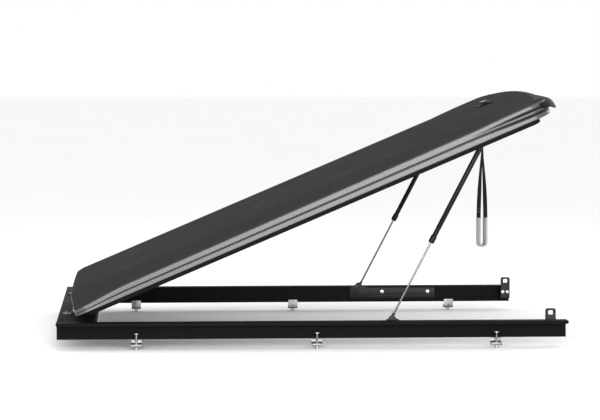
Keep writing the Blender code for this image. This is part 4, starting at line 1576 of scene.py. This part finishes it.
    def foot_mount(self) -> None:
        """Builds the plate on the rail, the round ear and stud of the foot, and the two bolts."""
        word, sign = self.side.word, self.side.value
        low, high = box_in(f"foot_plate_{word}")
        face = high.y if sign > 0 else low.y
        sheet = 0.003
        work = Work()
        place = axes((0, face - sign * sheet / 2, 0), (1, 0, 0), (0, 0, 1))
        x, z = self.foot.x, self.foot.z
        flat = 0.006
        outline = arc((low.x + 0.006, low.z + 0.006), 0.006, 180.0, 270.0, 4)
        outline += arc((high.x - 0.006, low.z + 0.006), 0.006, 270.0, 360.0, 4)
        outline += arc((high.x - 0.006, flat - 0.006), 0.006, 0.0, 90.0, 4) + [(x + 0.040, flat)]
        outline += arc((x, z), 0.014, 20.0, 160.0, 16) + [(low.x, flat)]
        work.plate([outline], sheet, place, 0.0007)
        bead = rounded((x + 0.055, low.z + 0.008), (high.x - 0.012, low.z + 0.014), 0.003, 5)
        raised = axes((0, face - sign * (sheet + 0.0004), 0), (1, 0, 0), (0, 0, 1))
        work.plate([bead], 0.0016, raised, 0.0006)
        work.piece(f"foot_bracket_{word}", "black_steel", "bed_frame", f"foot_plate_{word}")
        bolts = Work()
        inner = face - sign * sheet
        end = box_in(f"foot_plate_{word}")[0 if sign > 0 else 1].y
        reach = abs(end - inner)
        profile = [(0.0, 0.0), (0.0115, 0.0), (0.0115, 0.0020), (0.0100, 0.0032), (0.0100, reach * 0.72)]
        profile += [(0.0088, reach * 0.76), (0.0050, reach * 0.80), (0.0050, reach - 0.0005), (0.0, reach)]
        bolts.turned(profile, facing((x, inner, z), (0, -sign, 0)), 32)
        for number in (1, 2):
            bolt_low, bolt_high = box_in(f"foot_bolt_{word}_{number}")
            middle = (bolt_low + bolt_high) / 2
            bolts.hex_bolt((middle.x, inner, middle.z), (0, -sign, 0), 0.0034)
        bolts.piece(f"foot_stud_and_bolts_{word}", "plated_steel", "bed_frame", f"foot_bolt_{word}_1",
                    f"foot_bolt_{word}_2")


# ---- strap ----


@dataclass
class Strap:
    """The pull-down strap: webbing looped over a bar, and a stitched sleeve round its lower end.

    Attributes:
        thick: The webbing's thickness.
        width: Its width.
        turn: How far it has twisted round by its lower end, in degrees.
        spread: Half the distance between its legs at the sleeve.
        sleeve: The sleeve's thickness.
    """

    thick: float = 0.0024
    width: float = 0.025
    turn: float = 30.0
    spread: float = 0.016
    sleeve: float = 0.0062

    def __post_init__(self) -> None:
        """Finds the bar it hangs from and the sleeve's ends."""
        self.bar = Vector(JOINTS["strap_swing"]["pos_m"])
        self.hang = Matrix.Translation(self.bar)
        low, high = box_in("strap_grip", self.hang)
        self.bottom, self.mouth = low.z, high.z

    def path(self, reach: float, ring: float) -> list[Point]:
        """Lays the strap's middle line, from one leg's end over the bar to the other's.

        Args:
            reach: The height that the legs end at.
            ring: The radius of the loop over the bar.

        Returns:
            The points, in the strap's own plane.
        """
        leg = []
        steps = 26
        for k in range(steps):
            z = reach + (-0.004 - reach) * k / steps
            share = smooth(z, self.mouth, -0.020)
            pinch = 0.0017 + (ring - 0.0017) * smooth(z, -0.022, -0.003)
            leg.append((-max(self.spread * (1.0 - share) ** 0.9, pinch), z))
        over = arc((0.0, 0.0), ring, 180.0, 0.0, 12)
        return leg + over + [(-x, z) for x, z in reversed(leg)]

    def frames(self, path: Sequence[Point]) -> list[Matrix]:
        """Turns a line into frames whose X runs along the cloth's width, twisting as it falls.

        Args:
            path: The line, in the strap's own plane.

        Returns:
            A frame at each of its points.
        """
        places = []
        last = len(path) - 1
        for k, (x, z) in enumerate(path):
            before, after = path[max(k - 1, 0)], path[min(k + 1, last)]
            along = Vector((after[0] - before[0], 0.0, after[1] - before[1])).normalized()
            twist = Matrix.Rotation(math.radians(self.turn) * smooth(z, -0.03, self.mouth + 0.05), 4, "Z")
            if z > -0.03:
                twist = Matrix()
            width = Vector((0, 1, 0))
            places.append(twist @ axes((x, 0.0, z), width, along.cross(width)))
        return places

    def tape(self, width: float, thick: float, rib: float = 0.0) -> list[Point]:
        """Draws the section of a tape with round edges.

        Args:
            width: Its width.
            thick: Its thickness.
            rib: How deep the lengthwise ribs are.

        Returns:
            The outline.
        """
        half = width / 2
        edge = arc((half - thick / 2, 0.0), thick / 2, -90.0, 90.0, 6)
        across = 8
        top = [(half * 0.8 * (1 - 2 * k / across), thick / 2 - rib * (k % 2)) for k in range(1, across)]
        other = [(-x, -y) for x, y in edge]
        return edge + top + other + [(-x, -y) for x, y in top]

    def build(self) -> None:
        """Builds the anchor, the webbing, the sleeve and the stitching."""
        self.anchor()
        webbing = Work(self.hang)
        webbing.sweep(self.tape(self.width, self.thick), self.frames(self.path(self.mouth - 0.012, 0.0040)))
        webbing.piece("pull_webbing", "webbing", "strap", "strap_webbing")
        self.grip()
        self.stitches()

    def anchor(self) -> None:
        """Builds the plate under the lid, its two ears, the bar and the screws."""
        low, high = box_in("strap_anchor", LID)
        middle = (low + high) / 2
        bar = LID.inverted() @ self.bar
        sheet = 0.0028
        work = Work(LID)
        outline = rounded((low.x, low.y), (high.x, high.y), 0.006, 6)
        work.plate([outline], sheet, Matrix.Translation((0, 0, high.z - sheet / 2)), 0.0006)
        for away in (-1, 1):
            place = axes((middle.x, middle.y + away * 0.019, 0), (1, 0, 0), (0, 0, 1))
            ear = [(0.008, high.z - 0.001), (-0.008, high.z - 0.001), (-0.008, high.z - 0.004)]
            ear += arc((0.0, bar.z), 0.0046, 190.0, 350.0, 12) + [(0.008, high.z - 0.004)]
            work.plate([ear], 0.0032, place, 0.0006)
        ends = [(bar.x, middle.y + away * 0.0215, bar.z) for away in (-1, 1)]
        work.bar(*ends, 0.0022, 0.0004, 20)
        work.piece("strap_bracket", "black_steel", "lid", "strap_anchor")
        screws = Work(LID)
        for away in (-0.0255, 0.0255):
            at = (middle.x, middle.y + away, high.z - sheet)
            screws.hex_bolt(at, (0, 0, -1), 0.0022, washer=False)
        screws.piece("strap_screws", "plated_steel", "lid")

    def grip(self) -> None:
        """Builds the padded sleeve, bent into a U."""
        radius = self.spread
        low = self.bottom + self.sleeve / 2 + radius
        turn = [(x, z) for x, z in arc((0.0, low), radius, 180.0, 360.0, 24)]
        leg = [(-radius, self.mouth + (low - self.mouth) * k / 20) for k in range(20)]
        path = leg + turn + [(-x, z) for x, z in reversed(leg)]
        places = []
        last = len(path) - 1
        for k, (x, z) in enumerate(path):
            before, after = path[max(k - 1, 0)], path[min(k + 1, last)]
            along = Vector((after[0] - before[0], 0.0, after[1] - before[1])).normalized()
            twist = Matrix.Rotation(math.radians(self.turn), 4, "Z")
            hem = 1.0 + 0.10 * (1.0 if 1 <= min(k, last - k) <= 2 else 0.0)
            lumps = 1.0 + 0.03 * math.sin(k * 1.7)
            puff = Matrix.Diagonal((1.0, hem * lumps, 1.0, 1.0))
            places.append(twist @ axes((x, 0.0, z), (0, 1, 0), along.cross(Vector((0, 1, 0)))) @ puff)
        sleeve = Work(self.hang)
        sleeve.sweep(self.tape(self.width + 0.002, self.sleeve, 0.0004), places)
        sleeve.piece("grip_cover", "grip_sleeve", "strap", "strap_grip")

    def stitches(self) -> None:
        """Builds the rows of stitches across the webbing just above the sleeve and below the bar."""
        work = Work(self.hang)
        places = self.frames(self.path(self.mouth, 0.0040))
        for row in (2, 3, 22, 23):
            for place in (places[row], places[-1 - row]):
                for k in range(7):
                    x = (k - 3) * 0.0033
                    for face in (-1, 1):
                        at = Vector((x, face * (self.thick / 2 + 0.0001), 0.0))
                        ends = (at - Vector((0.0011, 0, 0)), at + Vector((0.0011, 0, 0)))
                        work.bar(*ends, 0.0003, 0.0, 6, place)
        work.piece("strap_stitching", "grip_sleeve", "strap")


# ---- bed frame ----


@dataclass
class Hinge:
    """A leaf hinge between the header and the lid's front edge.

    Attributes:
        side: Its side of the truck.
        leaf: The plates' thickness.
        bolt: The thread radius of its bolts.
    """

    side: Side
    leaf: float = 0.0030
    bolt: float = 0.0026

    def build(self) -> None:
        """Builds the lid's leaf, the header's foot and the pin."""
        word = self.side.word
        self.lid_leaf(f"lid_leaf_{word}", f"hinge_leaf_{word}")
        self.foot(f"hinge_foot_{word}", f"hinge_base_{word}")
        low, high = box_in(f"hinge_pin_{word}")
        radius, middle = (high.z - low.z) / 2, (low + high) / 2
        work = Work()
        half = high.y - middle.y
        profile = [(0.0, -half), (radius * 1.25, -half), (radius * 1.45, -half + 0.0006)]
        profile += [(radius * 1.45, -half + 0.0014), (radius, -half + 0.0018), (radius, half - 0.0012)]
        profile += [(radius * 0.7, half), (0.0, half)]
        work.turned(profile, facing(middle, (0, self.side.value, 0)), 28)
        work.piece(f"pivot_pin_{word}", "plated_steel", "bed_frame", f"hinge_pin_{word}")

    def lid_leaf(self, name: str, node: str) -> None:
        """Builds the leaf that climbs the lid's front wall, with its middle knuckle and bolts.

        Args:
            name: The piece's name.
            node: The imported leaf.
        """
        low, high = box_in(node, LID)
        middle = (low.y + high.y) / 2
        back, knuckle = high.x, -low.x
        work = Work(LID)
        place = axes((back - self.leaf / 2, 0, 0), (0, 1, 0), (0, 0, 1))
        outline = rounded((low.y, low.z), (high.y, high.z), 0.005, 5)
        work.plate([outline], self.leaf, place, 0.0007)
        upright = axes((0, middle, 0), (1, 0, 0), (0, 0, 1))
        roll = arc((0.0, 0.0), knuckle, 270.0, 30.0, 20)
        roll += [(back - self.leaf * 0.6, knuckle * 0.55), (back - self.leaf * 0.6, -knuckle + 0.0002)]
        bore = circle(0.0044, 24)[::-1]
        work.plate([roll, bore], 0.0318, upright, 0.0005)
        work.piece(name, "black_steel", "lid", node)
        bolts = Work(LID)
        for away in (-0.022, 0.022):
            bolts.hex_bolt((back - self.leaf, middle + away, high.z - 0.011), (-1, 0, 0), self.bolt)
        bolts.piece(f"{name}_bolts", "plated_steel", "lid")

    def foot(self, name: str, node: str) -> None:
        """Builds the foot on the header, its two rolled knuckles and its bolts.

        Args:
            name: The piece's name.
            node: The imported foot.
        """
        low, high = box_in(node)
        middle = (low.y + high.y) / 2
        knuckle = high.z - HINGE.z
        work = Work()
        sheet = self.leaf
        outline = rounded((low.x, low.y), (0.004, high.y), 0.005, 5)
        work.plate([outline], sheet, Matrix.Translation((0, 0, low.z + sheet / 2)), 0.0007)
        bore = [(x, z + HINGE.z) for x, z in circle(0.0043, 24)][::-1]
        roll = [(-0.014, low.z + sheet * 0.5), (0.004, low.z + sheet * 0.5), (knuckle, low.z + 0.008)]
        roll += arc((0.0, HINGE.z), knuckle, 0.0, 180.0, 20) + [(-0.0085, low.z + 0.010)]
        for away in (-1, 1):
            centre = middle + away * (0.0163 + (high.y - middle)) / 2
            upright = axes((0, centre, 0), (1, 0, 0), (0, 0, 1))
            work.plate([roll, bore], high.y - middle - 0.0163, upright, 0.0005)
        work.piece(name, "black_steel", "bed_frame", node)
        bolts = Work()
        for away in (-0.022, 0.022):
            bolts.hex_bolt((-0.030, middle + away, low.z + sheet), (0, 0, 1), self.bolt)
        bolts.piece(f"{name}_bolts", "plated_steel", "bed_frame")


@dataclass
class BedFrame:
    """Two side rails and the header, with corner brackets, strikers and clamps.

    Attributes:
        wall: The rails' wall.
        ledge: How far the rails' bottom ledge stands in, and its height.
        clamps: How many clamps each rail has.
    """

    wall: float = 0.004
    ledge: tuple[float, float] = (0.008, 0.006)
    clamps: int = 3

    def build(self) -> None:
        """Builds every piece of the frame."""
        self.header()
        for side in Side:
            self.rail(side)
            self.corner(side)
            self.striker(side)
            Hinge(side).build()
            for number in range(1, self.clamps + 1):
                self.clamp(side, number)

    def side_plane(self, side: Side, x: float) -> Matrix:
        """Gives the frame of a rail's section: X in from its outer edge, Y up."""
        outer = box_in(f"rail_{side.word}")[1 if side.value > 0 else 0].y
        return axes((x, outer, 0), (0, -side.value, 0), (0, 0, 1))

    def rail(self, side: Side) -> None:
        """Builds a rail: a hollow flange, a grooved leaf and a ledge, with a plug in each end.

        Args:
            side: Its side of the truck.
        """
        low, high = box_in(f"rail_{side.word}")
        wide = high.y - low.y - self.ledge[0]
        top, bottom = high.z, low.z
        leaf, shelf = wide - self.wall, low.z + self.ledge[1]
        outline = [(0.0, 0.0), (leaf, 0.0), (leaf, bottom), (wide + self.ledge[0], bottom)]
        outline += [(wide + self.ledge[0], shelf), (wide, shelf), (wide, top - 0.003)]
        outline += arc((wide - 0.003, top - 0.003), 0.003, 0.0, 90.0, 4)[1:]
        outline += [(0.040, top), (0.0385, top - 0.0012), (0.0355, top - 0.0012), (0.034, top)]
        outline += arc((0.004, top - 0.004), 0.004, 90.0, 180.0, 4)
        hollow = rounded((0.004, 0.0028), (leaf - 0.002, top - 0.0028), 0.001, 2)[::-1]
        middle = (low.x + high.x) / 2
        long = high.x - low.x
        work = Work()
        work.plate([outline, hollow], long - 0.003, self.side_plane(side, middle), 0.0005)
        work.piece(f"side_rail_{side.word}", "rail_coat", "bed_frame", f"rail_{side.word}")
        caps = Work()
        plug = rounded((0.0006, 0.0006), (leaf + 0.002, top - 0.0006), 0.003, 4)
        for x in (low.x + 0.0009, high.x - 0.0009):
            caps.plate([plug], 0.0018, self.side_plane(side, x), 0.0005)
        caps.piece(f"rail_plugs_{side.word}", "trim_plastic", "bed_frame")
        tape = Work()
        strip = [(0.006, -0.0008), (leaf - 0.006, -0.0008), (leaf - 0.006, 0.0003), (0.006, 0.0003)]
        tape.plate([strip], long - 0.010, self.side_plane(side, middle), 0.0002)
        tape.piece(f"rail_tape_{side.word}", "seal_rubber", "bed_frame")

    def header(self) -> None:
        """Builds the header, with its two hollows."""
        low, high = box_in("header_rail")
        top, wall = high.z, 0.0028
        leaf = high.x - self.wall
        outline = [(low.x, 0.0), (leaf, 0.0), (leaf, low.z), (high.x, low.z), (high.x, top - 0.003)]
        outline += arc((high.x - 0.003, top - 0.003), 0.003, 0.0, 90.0, 4)[1:]
        outline += [(0.052, top), (0.0505, top - 0.0012), (0.0445, top - 0.0012), (0.043, top)]
        outline += arc((low.x + 0.004, top - 0.004), 0.004, 90.0, 180.0, 4)
        front = rounded((low.x + 0.004, wall), (-0.004, top - wall), 0.001, 2)[::-1]
        rear = rounded((0.004, wall), (leaf - wall, top - wall - 0.0006), 0.001, 2)[::-1]
        work = Work()
        work.plate([outline, front, rear], high.y - low.y, axes((0, 0, 0), (1, 0, 0), (0, 0, 1)), 0.0005)
        work.piece("header_beam", "rail_coat", "bed_frame", "header_rail")

    def corner(self, side: Side) -> None:
        """Builds the angle that ties a rail to the header, with its bolts.

        Args:
            side: Its side of the truck.
        """
        low, high = box_in(f"corner_bracket_{side.word}")
        sign = side.value
        corner_y = high.y if sign > 0 else low.y
        end_y = low.y if sign > 0 else high.y
        sheet, bend = 0.003, 0.006
        place = axes((low.x, corner_y, (low.z + high.z) / 2), (1, 0, 0), (0, -sign, 0))
        reach, long = abs(end_y - corner_y), high.x - low.x
        outline = arc((bend, bend), bend, 270.0, 180.0, 5) + [(0.0, reach), (sheet, reach)]
        outline += arc((bend, bend), bend - sheet, 180.0, 270.0, 5) + [(long, sheet), (long, 0.0)]
        work = Work()
        work.plate([outline], high.z - low.z, place, 0.0006)
        work.piece(f"rail_angle_{side.word}", "black_steel", "bed_frame", f"corner_bracket_{side.word}")
        bolts = Work()
        z = (low.z + high.z) / 2
        for reach in (0.028, 0.062):
            bolts.hex_bolt((low.x + reach, corner_y - sign * sheet, z), (0, -sign, 0), 0.0040)
            bolts.hex_bolt((low.x + sheet, corner_y - sign * reach, z), (1, 0, 0), 0.0040)
        bolts.piece(f"rail_angle_bolts_{side.word}", "plated_steel", "bed_frame")

    def striker(self, side: Side) -> None:
        """Builds the folded striker, with its window, its return and two bolts.

        Args:
            side: Its side of the truck.
        """
        low, high = box_in(f"striker_{side.word}")
        sign = side.value
        near, far = (low.y, high.y) if sign > 0 else (high.y, low.y)
        x, sheet = (low.x + high.x) / 2, 0.005
        half = (high.x - low.x) / 2
        place = axes((0, near + sign * sheet / 2, 0), (1, 0, 0), (0, 0, 1))
        outline = arc((x - half + 0.005, low.z + 0.005), 0.005, 180.0, 270.0, 4)
        outline += arc((x + half - 0.005, low.z + 0.005), 0.005, 270.0, 360.0, 4)
        outline += arc((x + half - 0.008, high.z - 0.008), 0.008, 0.0, 90.0, 6)
        outline += arc((x - half + 0.008, high.z - 0.008), 0.008, 90.0, 180.0, 6)
        level = HINGE.z + 0.006
        window = rounded((x - 0.009, level - 0.009), (x + 0.009, level + 0.007), 0.003, 4)[::-1]
        work = Work()
        work.plate([outline, window], sheet, place, 0.0009)
        work.block((low.x + 0.001, near + sign * sheet * 0.8, low.z + 0.001),
                   (high.x - 0.001, far, 0.004), 0.0012)
        work.piece(f"latch_keeper_{side.word}", "black_steel", "bed_frame", f"striker_{side.word}")
        bolts = Work()
        for away in (-0.010, 0.010):
            bolts.hex_bolt((x + away, near, -0.014), (0, -sign, 0), 0.0030)
        bolts.piece(f"keeper_bolts_{side.word}", "plated_steel", "bed_frame")

    def clamp(self, side: Side, number: int) -> None:
        """Builds a cast clamp jaw with its rib and boss, and then its screw.

        Args:
            side: Its side of the truck.
            number: Its number along the rail.
        """
        node = f"clamp_{side.word}_{number}"
        low, high = box_in(node)
        rail_low, rail_high = box_in(f"rail_{side.word}")
        x = (low.x + high.x) / 2
        place = self.side_plane(side, x)
        wide = rail_high.y - rail_low.y - self.ledge[0]
        outer = wide + self.ledge[0] + 0.006 - 0.0001
        inner = wide + self.ledge[0] + GAP
        hook = rail_low.z + self.ledge[1] + GAP
        arm_top, arm_end = low.z + 0.010, 0.030
        outline = [(wide + GAP, hook), (wide + GAP, high.z - 0.002), (wide + 0.002, high.z)]
        outline += arc((outer - 0.004, high.z - 0.004), 0.004, 90.0, 0.0, 5)
        outline += arc((outer - 0.010, low.z + 0.010), 0.010, 0.0, -90.0, 8)
        outline += arc((arm_end + 0.003, low.z + 0.003), 0.003, 270.0, 180.0, 4)
        outline += [(arm_end, arm_top - 0.001), (arm_end + 0.001, arm_top)]
        elbow = 0.006
        outline += arc((inner - elbow, arm_top + elbow), elbow, 270.0, 360.0, 6) + [(inner, hook)]
        work = Work()
        work.plate([outline], high.x - low.x, place, 0.0009)
        bolt_low, bolt_high = box_in(f"clamp_bolt_{side.word}_{number}")
        middle = (bolt_low + bolt_high) / 2
        boss = [(middle.x, middle.y, arm_top + step) for step in (-0.001, 0.003)]
        work.bar(*boss, 0.0095, 0.0008, 32)
        base, crest = outer - 0.0012, outer + 0.0016
        rib = [(base, low.z + 0.009), (crest, low.z + 0.014)]
        rib += [(crest, high.z - 0.010), (base, high.z - 0.006)]
        work.plate([rib], 0.012, place, 0.0006)
        work.piece(f"clamp_jaw_{side.word}_{number}", "cast_alloy", "bed_frame", node)
        self.clamp_screw(side, number)

    def clamp_screw(self, side: Side, number: int) -> None:
        """Builds a clamp's screw: a swivel pad, a threaded shank and a socket head.

        Args:
            side: Its side of the truck.
            number: Its number along the rail.
        """
        low, high = box_in(f"clamp_bolt_{side.word}_{number}")
        middle = (low + high) / 2
        radius, root, pitch = 0.0040, 0.0034, 0.0013
        neck, head = high.z - 0.007, low.z + 0.0095
        pad = [(0.0, 0.0), (0.0096, 0.0), (0.0110, -0.0010), (0.0110, -0.0034), (0.0096, -0.0042)]
        profile = [(across, high.z + up) for across, up in pad + [(0.0050, -0.0044)]]
        profile += [(0.0050, neck + 0.0005), (root, neck)]
        turns = int((neck - head) / pitch)
        for k in range(turns):
            z = neck - pitch * k
            profile += [(root, z - pitch * 0.15), (radius, z - pitch * 0.5), (root, z - pitch * 0.85)]
        profile += [(root, head), (0.0062, head), (0.0070, head - 0.0008), (0.0070, low.z + 0.0010)]
        profile += [(0.0062, low.z), (0.0036, low.z), (0.0032, low.z + 0.0006), (0.0032, low.z + 0.0050)]
        profile += [(0.0, low.z + 0.0055)]
        work = Work()
        work.turned(profile, Matrix.Translation((middle.x, middle.y, 0)), 24)
        work.piece(f"clamp_screw_{side.word}_{number}", "plated_steel", "bed_frame",
                   f"clamp_bolt_{side.word}_{number}")


# ---- studio ----


def looking(at: Vector, aim: Vector) -> Matrix:
    """Builds the frame of a lamp or lens that stands at one point and looks at another."""
    return Matrix.Translation(at) @ (aim - at).to_track_quat("-Z", "Y").to_matrix().to_4x4()


@dataclass(frozen=True)
class Studio:
    """The floor, the lights and the camera.

    Attributes:
        distance: How far the camera stands from the middle of the object.
        lens: Its focal length, in millimetres.
        floor_reach: How far the floor runs each way.
    """

    distance: float = 10.64
    lens: float = 158.0
    floor_reach: float = 80.0

    def light(self, name: str, at: Place, aim: Place, size: Point, power: float, colour: Colour) -> None:
        """Hangs a soft box.

        Args:
            name: The light's name.
            at: Where it hangs.
            aim: What it points at.
            size: Its width and height.
            power: Its power, in watts.
            colour: Its colour.
        """
        lamp = bpy.data.lights.new(name, "AREA")
        lamp.shape = "RECTANGLE"
        lamp.size, lamp.size_y = size
        lamp.energy = power
        lamp.color = colour
        obj = bpy.data.objects.new(name, lamp)
        obj.matrix_world = looking(Vector(at), Vector(aim))
        bpy.context.scene.collection.objects.link(obj)

    def floor(self, height: float) -> None:
        """Lays the pale floor.

        Args:
            height: Its level.
        """
        graph = Graph("pale_floor")
        shade = graph.blend(graph.noise(1.5, 2.0), (0.92, 0.92, 0.92), (0.95, 0.95, 0.95))
        finish = graph.dress(base_color=shade, roughness=0.85)
        bm = bmesh.new()
        place = Matrix.Translation((0, 0, height))
        bmesh.ops.create_grid(bm, x_segments=1, y_segments=1, size=self.floor_reach, matrix=place)
        mesh = bpy.data.meshes.new("floor")
        bm.to_mesh(mesh)
        bm.free()
        mesh.materials.append(finish)
        obj = bpy.data.objects.new("floor", mesh)
        bpy.context.scene.collection.objects.link(obj)

    def camera(self, low: Vector, high: Vector) -> None:
        """Stands the camera beside the truck, a little above the bed's rails.

        Args:
            low: The object's lowest corner.
            high: Its highest corner.
        """
        lens = bpy.data.cameras.new("camera")
        lens.lens = self.lens
        lens.sensor_width = 36.0
        lens.clip_end = 200.0
        obj = bpy.data.objects.new("camera", lens)
        at = Vector((0.24, -self.distance, 0.97))
        aim = Vector(((low.x + high.x) / 2, 0.0, (low.z + high.z) / 2))
        obj.matrix_world = looking(at, aim)
        bpy.context.scene.collection.objects.link(obj)
        bpy.context.scene.camera = obj

    def build(self) -> None:
        """Sets up the floor, the world, the lights and the camera."""
        low, high = (Vector(corner) for corner in CAD_BOX)
        self.floor(low.z - 0.001)
        world = bpy.data.worlds.new("studio")
        world.use_nodes = True
        sky = world.node_tree.nodes["Background"]
        sky.inputs["Color"].default_value = (1.0, 1.0, 1.0, 1.0)
        sky.inputs["Strength"].default_value = 1.0
        bpy.context.scene.world = world
        bpy.context.scene.view_settings.view_transform = "Standard"
        middle = (0.95, 0.0, 0.4)
        self.light("side_box", (0.9, -5.5, 1.0), (0.9, 0.0, 0.45), (7.0, 1.6), 430.0, (1.0, 0.99, 0.97))
        self.light("top_box", (0.4, -0.8, 5.5), middle, (4.0, 4.0), 50.0, (0.96, 0.98, 1.0))
        self.light("rear_box", (5.5, 2.5, 2.6), middle, (3.0, 2.5), 70.0, (1.0, 1.0, 1.0))
        self.camera(low, high)


def main() -> None:
    """Builds the whole cover and its studio."""
    form = LidForm()
    LidSkin(form).build()
    Liner(form).build()
    BulbSeal().build()
    RearLip(form).build()
    Latch().build()
    Strap().build()
    for side in Side:
        Strut(side).build()
    BedFrame().build()
    Studio().build()


if __name__ == "__main__":
    logging.basicConfig(level=logging.INFO, format="%(message)s")
    main()
